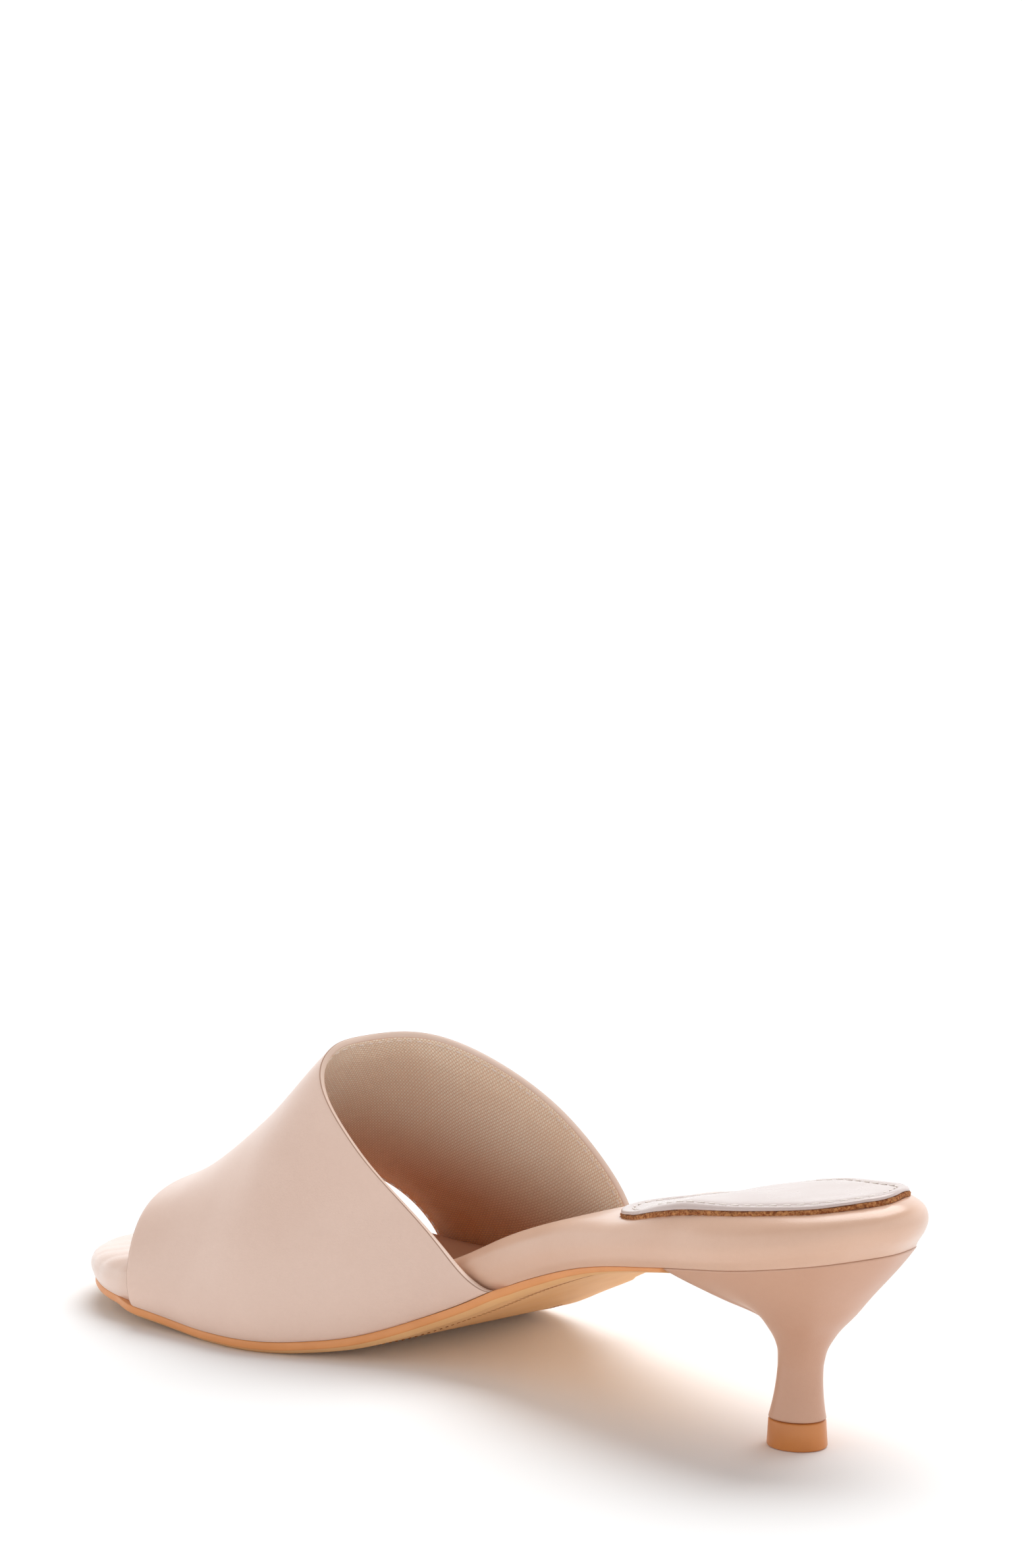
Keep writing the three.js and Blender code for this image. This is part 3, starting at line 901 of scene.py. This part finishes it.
def make_lining():
    profile = [(LINING_IN, EDGE_WALL - LINING_SUNK), (LINING_IN, EDGE_WALL + LINING_UP * 0.6),
               (LINING_IN + 0.15, EDGE_WALL + LINING_UP)]
    angle = mix(LINING_FOOT, np.pi - LINING_FOOT, band_angles(BAND_ROUND) / np.pi)
    points, faces, along = band_skin(angle, profile, lambda share: band_wall(share) - LINING_SUNK,
                                     lambda share: band_wall(share) + LINING_UP)
    middle = BAND_LONG - 2 + along.shape[1] // 3
    uv = np.stack(np.broadcast_arrays(arc_length(points[:, middle])[:, None], lengthwise(along)), axis=-1)
    dress(shell("band_lining", points, faces, CANVAS, uv=uv), "upper")


# Stitches. A run's sizes are its pitch, then a stitch's length, width and height, in millimetres
RIM_STITCH = (2.3, 1.55, 0.42, 0.36)
RIM_STITCH_IN = 1.45
RIM_STITCH_UP = 0.05
RIM_STITCH_SINK = 0.02
RIM_STITCH_TURN = 0.06
SOCK_STITCH = (2.95, 1.95, 0.58, 0.5)
SOCK_STITCH_IN = 2.7
SOCK_STITCH_LEAN = 0.16
STITCH_SWING = 0.05
STITCH_RINGS = 5
STITCH_SIDES = 8


def capsule(length, width, height):
    """Points and faces of one small stitch that lies along X."""
    share = np.linspace(0, np.pi, STITCH_RINGS + 2)[1:-1]
    turn = np.linspace(0, 2 * np.pi, STITCH_SIDES, endpoint=False)
    x = -np.cos(share) ** 3 * 0.3 * length - np.cos(share) * 0.2 * length
    size = np.sin(share) ** 0.6
    ring = np.stack(np.broadcast_arrays(
        x[:, None], size[:, None] * np.cos(turn) * width / 2, size[:, None] * np.sin(turn) * height / 2),
        axis=-1).reshape(-1, 3)
    tips = np.array([[-length / 2, 0, 0], [length / 2, 0, 0]])
    faces = tube_faces(STITCH_RINGS, STITCH_SIDES)
    last = (STITCH_RINGS - 1) * STITCH_SIDES
    for j in range(STITCH_SIDES):
        across = (j + 1) % STITCH_SIDES
        faces.append([len(ring), across, j])
        faces.append([len(ring) + 1, last + j, last + across])
    return np.concatenate([ring, tips]), faces


def run_of_stitches(name, path, normals, sizes, material, sink=0.0, lean=0.0):
    """Stitches along a path, each turned to it and lying in its surface."""
    pitch, *stitch_sizes = sizes
    stitch, stitch_faces = capsule(*stitch_sizes)
    arc = arc_length(path)
    points, faces = [], []
    for place in np.arange(pitch / 2, arc[-1] - pitch / 2, pitch):
        here = on_path(place, arc, path)
        up = unit(on_path(place, arc, normals))
        forward = unit(on_path(place + 0.4, arc, path) - here)
        side = unit(np.cross(up, forward))
        forward = np.cross(side, up)
        swing = RNG.normal(lean, STITCH_SWING)
        turned = stitch @ np.array([forward + swing * side, side - swing * forward, up])
        start = len(points) * len(stitch)
        points.append(turned + here - up * sink)
        faces += [[start + v for v in face] for face in stitch_faces]
    return shell(name, np.concatenate(points), faces, material)


def make_band_stitches():
    angle = np.linspace(RIM_STITCH_TURN, np.pi - RIM_STITCH_TURN, 500)
    for name, edge, inwards in (("rear_stitches", REAR_EDGE, 1), ("front_stitches", FRONT_EDGE, -1)):
        along = edge_inset(edge, angle, inwards * RIM_STITCH_IN)
        path = band_point(along, angle, np.full_like(along, EDGE_WALL + LINING_UP + RIM_STITCH_UP))
        normals = -arch_normal(along, angle)
        dress(run_of_stitches(name, path, normals, RIM_STITCH, PALE_THREAD, sink=RIM_STITCH_SINK), "upper")


# The footbed and the soles

FOOTBED_TURNS = 190
FOOTBED_LEVELS = 26
FOOTBED_STRIPS = 30
CROWN = 0.35
ROLL_FIT = 0.85
SEAT_SOFT = 0.75
REAR_ROLL_RISE = 1.35
REAR_ROLL_TO = 0.12
REAR_TUCK = 2.2
REAR_TUCK_TO = 0.04
SEAT_SOFT_TO = 0.6
SEAT_SOFT_FADE = 0.1

# Soft dents in the rolled side, a row each: place along, side, height share, length, height, depth in mm
SIDE_DENTS = table(
    "along side up long tall deep",
    (0.055, INNER, 0.62, 0.030, 0.22, 0.28),
    (0.115, INNER, 0.72, 0.020, 0.20, 0.25),
    (0.165, INNER, 0.66, 0.016, 0.24, 0.22),
    (0.215, INNER, 0.74, 0.018, 0.18, 0.20),
    (0.30, INNER, 0.70, 0.026, 0.20, 0.18),
    (0.07, OUTER, 0.66, 0.026, 0.22, 0.28),
    (0.14, OUTER, 0.70, 0.020, 0.20, 0.24),
    (0.24, OUTER, 0.68, 0.028, 0.22, 0.22),
    (0.36, OUTER, 0.70, 0.030, 0.20, 0.20),
    (0.905, INNER, 0.86, 0.010, 0.3, 0.22),
    (0.94, INNER, 0.84, 0.008, 0.3, 0.2),
    (0.965, INNER, 0.8, 0.006, 0.3, 0.18),
    (0.93, OUTER, 0.84, 0.010, 0.3, 0.2),
)


def dent_depth(along, side, up):
    total = np.zeros_like(along)
    for dent in SIDE_DENTS:
        if dent["side"] == side:
            off = ((along - dent["along"]) / dent["long"]) ** 2 + ((up - dent["up"]) / dent["tall"]) ** 2
            total += dent["deep"] * np.exp(-off)
    return total


WAVE_PLACES = np.linspace(-30, 56, 345)
WAVE_WINDOW = 25


def wave_line(name):
    """One column of the seat's waves, rounded off at its knots."""
    line = np.interp(WAVE_PLACES, [row["x"] for row in SEAT_WAVES], [row[name] for row in SEAT_WAVES])
    window = np.hanning(WAVE_WINDOW)
    return np.convolve(np.pad(line, WAVE_WINDOW // 2, mode="edge"), window / window.sum(), mode="valid")


OUTER_WAVE = wave_line("outer")
INNER_WAVE = wave_line("inner")


def seat_wave(x, y):
    """How far the padded seat rises over its plain top."""
    along = alongside(x)
    across = clamp((y - edge_y(along, OUTER)) / np.maximum(edge_y(along, INNER) - edge_y(along, OUTER), 4.0))
    return mix(np.interp(x, WAVE_PLACES, OUTER_WAVE), np.interp(x, WAVE_PLACES, INNER_WAVE), across)


# Fine wrinkles that fan out over the toe, in degrees round the middle of the ball, with width and depth
TOE_WRINKLES = table(
    "turn wide deep",
    (-64, 2.6, 0.16),
    (-49, 2.0, 0.12),
    (-33, 2.4, 0.15),
    (-17, 1.8, 0.13),
    (-4, 2.2, 0.16),
    (9, 1.7, 0.14),
    (20, 2.0, 0.2),
    (31, 1.6, 0.2),
    (40, 1.8, 0.24),
    (49, 1.5, 0.22),
    (58, 1.7, 0.22),
    (67, 1.6, 0.18),
)
TOE_FAN = (160.0, 6.0)
WRINKLES_FROM = 172
WRINKLES_FADE = 10
WRINKLES_UP = 0.4
SIDE_WRINKLE = 0.4
TOP_WRINKLE = 0.7


def toe_wrinkle(x, y):
    turn = np.degrees(np.arctan2(y - TOE_FAN[1], x - TOE_FAN[0]))
    depth = np.zeros_like(turn)
    for row in TOE_WRINKLES:
        depth += row["deep"] * np.exp(-((turn - row["turn"]) / row["wide"]) ** 2)
    return depth * smooth((x - WRINKLES_FROM) / WRINKLES_FADE)


def make_footbed():
    turns = turns_between(0, 1, FOOTBED_TURNS)
    rings = []
    for up in along_at(np.linspace(0, 1, FOOTBED_LEVELS)):
        def place(turn, side, up=up):
            along = along_at(turn)
            seat_soft = mix(1, SEAT_SOFT, smooth((SEAT_SOFT_TO - along) / SEAT_SOFT_FADE))
            soft = soft_share(along) * seat_soft
            higher = up ** mix(1, REAR_ROLL_RISE, smooth((REAR_ROLL_TO - along) / REAR_ROLL_TO))
            out = FOOTBED_THICKNESS * (roll_at(higher) * roll_share(along) * ROLL_FIT - soft_at(up) * soft)
            out -= dent_depth(along, side, up)
            out -= REAR_TUCK * smooth(1 - along / REAR_TUCK_TO) * (1 - up) ** 2
            x, y = rim(turn, side, out)
            wrinkle = toe_wrinkle(x, y) * smooth(up / WRINKLES_UP)
            x, y = rim(turn, side, out - wrinkle)
            top = FOOTBED_THICKNESS * thick_share(alongside(x)) + seat_wave(x, y) * up**3
            return lifted(x, y, mix(SEEN_GAP, top, up) - SIDE_WRINKLE * wrinkle * up)

        rings.append(loop_of(turns, place))

    def crown(inside, share):
        """Rise of the top over the straight strips that close it: its crown, waves and wrinkles."""
        bulge = CROWN * (1 - (2 * share - 1) ** 2) * smooth(np.linspace(0, 1, len(inside)) * 8)[:, None]
        top = rings[-1]
        at_edge = seat_wave(top[:, 0], top[:, 1])
        edge_wave = mix(at_edge[:FOOTBED_TURNS, None], at_edge[FOOTBED_TURNS:][::-1, None], share)
        x, y = inside[..., 0], inside[..., 1]
        return bulge + seat_wave(x, y) - edge_wave - TOP_WRINKLE * toe_wrinkle(x, y)

    points, faces = capped(rings, FOOTBED_TURNS, FOOTBED_STRIPS, lift=crown)
    cover = shell("footbed_cover", points, faces, FOOTBED_LEATHER)
    dress(cover, "footbed", "footbed")


# The sole

SOLE_TURNS = 200
SOLE_STRIPS = 18
CHAMFER_ROWS = 2

# The outsole's side in profile: depth as a share of its thickness, inset in millimetres
SOLE_SIDE = table(
    "depth inset",
    (1.0, CHAMFER_WIDTH),
    (0.985, CHAMFER_WIDTH - 0.35),
    (0.66, 0.32),
    (0.6, 0.1),
    (0.53, 0.0),
    (0.1, 0.0),
    (0.02, 0.08),
    (0.0, 0.25),
)


def sole_thickness(along):
    share = (along - BREAST_ALONG) / (REAR_EDGE["inner"] - BREAST_ALONG)
    return mix(BREAST_THICKNESS, SOLE_THICKNESS, smooth(share))


def sole_point(turn, side, inset, depth):
    along = along_at(turn)
    x, y = rim(turn, side, step_out(along, side) - inset)
    return lifted(x, y, -depth * sole_thickness(along))


def make_outsole():
    turns = turns_between(turn_at(BREAST_ALONG), 1, SOLE_TURNS)
    rings = [loop_of(turns, lambda turn, side, row=row: sole_point(turn, side, row["inset"], row["depth"]))
             for row in SOLE_SIDE]
    points, faces = capped(rings, SOLE_TURNS, SOLE_STRIPS)
    sole = shell("outsole_unit", points, faces, SOLE_TAN)
    sole.data.materials.append(SOLE_UNDER_PAINTED_LIGHT)
    walls = (len(SOLE_SIDE) - 1) * 2 * SOLE_TURNS
    bottom = (SOLE_TURNS - 1) * SOLE_STRIPS + 2
    # The bottom chamfer rows and the bottom get the paler underside tan: painted light on the faces turned
    # down.
    finish = np.zeros(len(faces), np.int32)
    finish[:CHAMFER_ROWS * 2 * SOLE_TURNS] = 1
    finish[walls:walls + bottom] = 1
    sole.data.polygons.foreach_set("material_index", finish)
    dress(sole, "outsole", "outsole")


# The marks under the sole: their sizes, where they start and end, and where they fade to a line
MARK_IN = 8.6
MARK_LONG = 2.1
MARK_WIDE = 0.6
MARK_DEEP = 0.1
MARK_PITCH = 1.6
MARK_LEAN = 27.0
MARKS_START = 0.27
MARKS_END = 0.985
MARKS_FROM = {INNER: MARKS_START, OUTER: 0.55}
LINE_WIDE = 0.22
LINE_TO = 0.33
LINE_FADE = 0.08


def make_sole_marks():
    """A row of short marks pressed into the underside, which ends in a fine line at the waist."""
    points, faces = [], []
    box = np.array([[x, y, z] for x in (-0.5, 0.5) for y in (-0.5, 0.5) for z in (-0.5, 0.5)])
    box_faces = [[0, 1, 3, 2], [4, 6, 7, 5], [0, 4, 5, 1], [2, 3, 7, 6], [0, 2, 6, 4], [1, 5, 7, 3]]
    for side in (INNER, OUTER):
        turn = np.linspace(turn_at(MARKS_START), turn_at(MARKS_END), 1500)
        beside_foot = step_out(along_at(turn), side) - UPPER_WALL - GAP
        path = sole_point(turn, side, MARK_IN + beside_foot, 1.0)
        arc = arc_length(path)
        for place in np.arange(0, arc[-1], MARK_PITCH):
            here = on_path(place, arc, path)
            if alongside(here[0]) < MARKS_FROM[side]:
                continue
            forward = unit(on_path(place + 0.5, arc, path) - on_path(place - 0.5, arc, path))
            sideways = unit(np.cross([0, 0, 1], forward))
            up = np.cross(forward, sideways)
            share = float(smooth((alongside(here[0]) - LINE_TO) / LINE_FADE))
            lean = math.radians(MARK_LEAN) * share * side * np.sign(forward[0])
            forward, sideways = (math.cos(lean) * forward + math.sin(lean) * sideways,
                                 math.cos(lean) * sideways - math.sin(lean) * forward)
            size = box * [mix(MARK_PITCH, MARK_WIDE, share), mix(LINE_WIDE, MARK_LONG, share), MARK_DEEP]
            start = len(points) * 8
            points.append(size @ np.array([forward, sideways, up]) + here)
            faces += [[start + v for v in face] for face in box_faces]
    marks = shell("sole_marks", np.concatenate(points), faces, SOLE_MARK)
    marks.data.polygons.foreach_set("use_smooth", np.zeros(len(marks.data.polygons), bool))
    dress(marks, "outsole")


# The heel

HEEL_TURNS = 60
BREAST_POINTS = 24
HEEL_LEVELS = 60
STEM_LEVELS = 30
HEEL_EDGE_SHARE = 0.985
HEEL_EDGE_DROP = 0.15


def stem_point(angle, length, width, height):
    flat = np.where(np.cos(angle) > 0, STEM_FRONT_SHARE, 1.0)
    shift = WAIST_SHIFT * clamp((height - LIFT_HEIGHT) / (WAIST_HEIGHT - LIFT_HEIGHT))
    x = length / 2 * flat * np.cos(angle) - shift
    return np.stack(np.broadcast_arrays(x, width / 2 * np.sin(angle), height), axis=-1)


def make_heel():
    turns = turns_between(0, turn_at(SEAT_LENGTH / FOOTBED_LENGTH), HEEL_TURNS)
    inner = np.stack(rim(turns, INNER, 0), axis=-1)
    outer = np.stack(rim(turns, OUTER, 0), axis=-1)
    share = np.linspace(0, 1, BREAST_POINTS + 1)[1:-1, None]
    breast = mix(inner[-1], outer[-1], share)
    seat = np.concatenate([inner, breast, outer[::-1]])
    angle = np.arctan2(seat[:, 1], seat[:, 0] + WAIST_SHIFT)
    tucked = seat[:, 0] + REAR_TUCK * smooth(1 - alongside(seat[:, 0]) / REAR_TUCK_TO)
    top = lifted(tucked, seat[:, 1], 0.0)
    waist = stem_point(angle, WAIST_LENGTH, WAIST_WIDTH, WAIST_HEIGHT)
    forward = clamp((np.cos(angle) - FLOW_FRONT_FROM) / (FLOW_FRONT_TO - FLOW_FRONT_FROM)) ** FLOW_FRONT_EASE
    rings = [np.concatenate([top[:, :2] * HEEL_EDGE_SHARE, top[:, 2:]], axis=1)]
    for drop in np.linspace(0, 1, HEEL_LEVELS):
        reach = mix(flow_back(drop), flow_front(drop), forward)[:, None]
        if drop == 0:
            reach = np.ones_like(reach)
        ring = mix(waist, top, reach)
        ring[:, 2] = mix(top[:, 2] - HEEL_EDGE_DROP, waist[:, 2], drop)
        rings.append(ring)
    base = LIFT_HEIGHT + GAP
    for share in np.linspace(0, 1, STEM_LEVELS)[1:]:
        flare = share**2
        length = mix(WAIST_LENGTH, LIFT_LENGTH * LIFT_TAPER, flare)
        width = mix(WAIST_WIDTH, LIFT_WIDTH * LIFT_TAPER, flare)
        rings.append(stem_point(angle, length, width, mix(WAIST_HEIGHT, base, share)))
    dress(shell("heel_cover", *stacked(rings), HEEL_LEATHER), "heel", "heel")


LIFT_TURNS = 48

# The block under the heel in profile: height share, and how much smaller it is in millimetres
LIFT_SIDE = table(
    "up small",
    (0.0, 0.5),
    (0.03, 0.15),
    (0.08, 0.0),
    (0.5, 0.0),
    (0.94, 0.0),
    (0.98, 0.08),
    (1.0, 0.3),
)


def make_top_lift():
    angle = np.linspace(0, 2 * np.pi, 2 * LIFT_TURNS, endpoint=False)
    rings = []
    for row in LIFT_SIDE:
        scale = mix(1.0, LIFT_TAPER, row["up"])
        length = LIFT_LENGTH * scale - 2 * row["small"]
        width = LIFT_WIDTH * scale - 2 * row["small"]
        rings.append(stem_point(angle, length, width, LIFT_HEIGHT * row["up"]))
    dress(shell("lift_block", *stacked(rings), LIFT_TAN), "top_lift", "top_lift")


# The heel sock

SOCK_TURNS = 150
BOARD_THICKNESS = 0.75
SOCK_LEATHER_THICKNESS = 0.75
SOCK_SHARE_ROWS = 9
SOCK_WAVE_RISE = 3.0
SOCK_FRONT = SOCK_LENGTH / FOOTBED_LENGTH


def padded_top(x, y):
    """Height of the padded footbed over the seat line, with its rounded edge."""
    along = alongside(x)
    up = np.linspace(0.6, 1, 60)
    inset = FOOTBED_THICKNESS * (
        soft_at(up) * float(soft_share(0.15)) * SEAT_SOFT - roll_at(up) * float(roll_share(0.1)) * ROLL_FIT)
    inner = edge_y(along, INNER) - y
    outer = y - edge_y(along, OUTER)
    rear = (x - lengthwise(0)) * 0.8
    near = np.minimum(np.minimum(inner, outer), rear)
    height = np.interp(near, inset, up * FOOTBED_THICKNESS)
    width = np.maximum(edge_y(along, INNER) - edge_y(along, OUTER), 1.0)
    share = clamp(inner / width)
    return height + seat_wave(x, y) + CROWN * 4 * share * (1 - share)


def sock_middle(along):
    return BALL_WIDTH * shift_share(0) + SOCK_LEAN * clamp(along / SOCK_FRONT)


def sock_outline(turn, side):
    """Plan points of the sock's outline."""
    share = along_at(turn)
    along = mix(SOCK_REAR_IN, SOCK_FRONT, share)
    tip = clamp((along - SOCK_FRONT + SOCK_FRONT_ROUND) / SOCK_FRONT_ROUND)
    shown = SOCK_FRONT * share
    half = (edge_y(shown, INNER) - edge_y(shown, OUTER)) / 2
    corner = np.exp(-((share - SOCK_CORNER_AT) / SOCK_CORNER_LONG) ** 2) * smooth(share / SOCK_CORNER_RISE)
    half = half * SOCK_WIDTH_SHARE + np.where(np.equal(side, OUTER), SOCK_CORNER_OUT * corner, 0.0)
    return lengthwise(along), sock_middle(along) + side * half * np.sqrt(1 - tip**2)


def sock_plan(turn, side, inset):
    """Plan points of the sock's outline, moved in square to it."""
    turn = np.asarray(turn, float)
    ends = []
    for place in (turn - SOCK_STEP, turn + SOCK_STEP):
        over = (place < 0) | (place > 1)
        folded = np.where(place < 0, -place, np.where(place > 1, 2 - place, place))
        x, y = sock_outline(folded, side)
        other = sock_outline(folded, -side)[1]
        ends.append((x, np.where(over, other, y)))
    ahead_x = ends[1][0] - ends[0][0]
    ahead_y = ends[1][1] - ends[0][1]
    length = np.hypot(ahead_x, ahead_y)
    x, y = sock_outline(turn, side)
    return x + inset * side * ahead_y / length, y - inset * side * ahead_x / length


def sock_wave(x, y):
    """The slow wave of the sock's leather between its stitches."""
    return (0.16 * np.sin(x / 7.1 + y / 9.0 + 0.6) * np.cos(y / 7.3 + 0.4)
            + 0.07 * np.sin(x / 3.3 + y / 4.1))


def sock_layer(name, profile, material, wave):
    """A layer of the sock from (inset, height) rows over the padded footbed, with a share of its wave."""
    turns = turns_between(0, 1, SOCK_TURNS)

    def ring(inset, height, inward=0.0, further=0.0):
        def place(turn, side):
            x, y = sock_plan(turn, side, inset)
            y = mix(y, sock_middle(alongside(x)), inward * 0.985)
            ripple = wave * sock_wave(x, y) * clamp((inset + further) / SOCK_WAVE_RISE)
            return lifted(x, y, padded_top(x, y) + height + ripple)

        return loop_of(turns, place)

    rings = [ring(inset, height) for inset, height in profile]
    rings += [ring(*profile[-1], inward, 2.0) for inward in np.linspace(0, 1, SOCK_SHARE_ROWS)[1:]]
    points, faces = capped(rings, SOCK_TURNS, 2)
    return shell(name, points, faces, material)


def make_sock():
    bottom = -0.25
    board_top = BOARD_THICKNESS
    board = sock_layer("sock_board", [
        (1.6, bottom), (0.12, bottom), (0.0, bottom + 0.2), (0.1, bottom + 0.5),
        (-0.03, bottom + 0.85), (0.05, board_top - 0.12), (0.3, board_top), (1.2, board_top)],
        CORK, 0.0)
    for vertex in board.data.vertices:
        vertex.co.x += RNG.normal(0, 0.1) * MM
        vertex.co.y += RNG.normal(0, 0.1) * MM
        vertex.co.z += RNG.normal(0, 0.03) * MM
    dress(board, "sock_backing", "sock_backing")

    top = board_top + SOCK_LEATHER_THICKNESS
    leather_top = sock_layer("sock_top", [
        (1.4, board_top + 0.02), (0.35, board_top + 0.03), (0.12, board_top + 0.16),
        (0.16, top - 0.22), (0.42, top - 0.03), (0.9, top + 0.04), (1.6, top + 0.03),
        (SOCK_STITCH_IN - 0.5, top - 0.08), (SOCK_STITCH_IN, top - 0.22), (SOCK_STITCH_IN + 0.5, top - 0.08),
        (SOCK_STITCH_IN + 1.3, top + 0.05), (SOCK_STITCH_IN + 2.4, top + 0.12)],
        SOCK_LEATHER, 1.0)
    dress(leather_top, "sock_cover", "sock_cover")

    turn = np.linspace(0.004, 0.996, 700)

    def path(side):
        x, y = sock_plan(turn, side, SOCK_STITCH_IN)
        ripple = sock_wave(x, y) * SOCK_STITCH_IN / SOCK_WAVE_RISE
        return lifted(x, y, padded_top(x, y) + top - 0.1 + ripple)

    line = np.concatenate([path(INNER), path(OUTER)[::-1]])
    slope = seat_slope(alongside(line[:, 0]))
    normals = unit(np.stack([-slope, np.zeros_like(slope), np.ones_like(slope)], axis=-1))
    dress(run_of_stitches("sock_stitches", line, normals, SOCK_STITCH, SOCK_THREAD, lean=SOCK_STITCH_LEAN),
          "sock_cover")


make_band()
make_lining()
make_band_stitches()
make_footbed()
make_outsole()
make_sole_marks()
make_heel()
make_top_lift()
make_sock()


# The stage

FLOOR_SIZE = 6.0


def make_floor():
    """A pale floor, wide enough to fill the picture."""
    material, board, shader, _ = new_material("pale floor")
    board.feed(shader, Base_Color=(0.93, 0.93, 0.93, 1), Roughness=0.95)
    half = FLOOR_SIZE
    corners = [(-half, -half, 0), (half, -half, 0), (half, half, 0), (-half, half, 0)]
    mesh = bpy.data.meshes.new("floor")
    mesh.from_pydata(corners, [], [[0, 1, 2, 3]])
    mesh.materials.append(material)
    floor = bpy.data.objects.new("floor", mesh)
    bpy.context.scene.collection.objects.link(floor)


# The studio: a bright sweep round the horizon, a dimmer ceiling and one wide overhead light
HORIZON_GLOW = 1.3
CEILING_GLOW = 0.38
GLOW_LOW = 0.25
GLOW_HIGH = 0.55
OVERHEAD_POWER = 2.4
OVERHEAD_LEAN = 27.0
OVERHEAD_TURN = 12.0
OVERHEAD_WIDTH = 52.0


def make_lights():
    world = bpy.data.worlds.new("studio")
    world.use_nodes = True
    board = Board(world.node_tree)
    height = board.split(board.node("ShaderNodeTexCoord").outputs["Generated"])["Z"]
    glow = board.spread(height, GLOW_LOW, GLOW_HIGH, HORIZON_GLOW, CEILING_GLOW)
    background = world.node_tree.nodes["Background"]
    board.feed(background, Color=(1, 1, 1, 1), Strength=glow)
    bpy.context.scene.world = world
    data = bpy.data.lights.new("overhead", "SUN")
    data.energy = OVERHEAD_POWER
    data.angle = math.radians(OVERHEAD_WIDTH)
    lamp = bpy.data.objects.new("overhead", data)
    bpy.context.scene.collection.objects.link(lamp)
    lamp.rotation_euler = (math.radians(OVERHEAD_LEAN), math.radians(OVERHEAD_TURN), 0)
    bpy.context.scene.view_settings.view_transform = "Standard"
    bpy.context.scene.view_settings.look = "None"


CAMERA_AZIMUTH = 228.338
CAMERA_ELEVATION = 12.46
CAMERA_DISTANCE = 895.042
CAMERA_AIM = (90.0, 0.0, 30.0)
CAMERA_PAN = -0.098
CAMERA_TILT = 6.301
CAMERA_LENS = 92.637


def make_camera():
    azimuth = math.radians(CAMERA_AZIMUTH)
    elevation = math.radians(CAMERA_ELEVATION)
    back = Vector((math.sin(azimuth) * math.cos(elevation), -math.cos(azimuth) * math.cos(elevation),
                   math.sin(elevation)))
    place = (Vector(CAMERA_AIM) + back * CAMERA_DISTANCE) * MM
    yaw = math.atan2(-back.y, -back.x) + math.radians(CAMERA_PAN)
    pitch = math.asin(-back.z) + math.radians(CAMERA_TILT)
    ahead = Vector((math.cos(pitch) * math.cos(yaw), math.cos(pitch) * math.sin(yaw), math.sin(pitch)))
    right = Vector((math.sin(yaw), -math.cos(yaw), 0))
    up = right.cross(ahead)
    data = bpy.data.cameras.new("camera")
    data.sensor_width = 36.0
    data.lens = CAMERA_LENS
    data.clip_start = 0.05
    data.clip_end = 20.0
    camera = bpy.data.objects.new("camera", data)
    bpy.context.scene.collection.objects.link(camera)
    camera.matrix_world = Matrix((
        (right.x, up.x, -ahead.x, place.x),
        (right.y, up.y, -ahead.y, place.y),
        (right.z, up.z, -ahead.z, place.z),
        (0, 0, 0, 1),
    ))
    bpy.context.scene.camera = camera


make_floor()
make_lights()
make_camera()
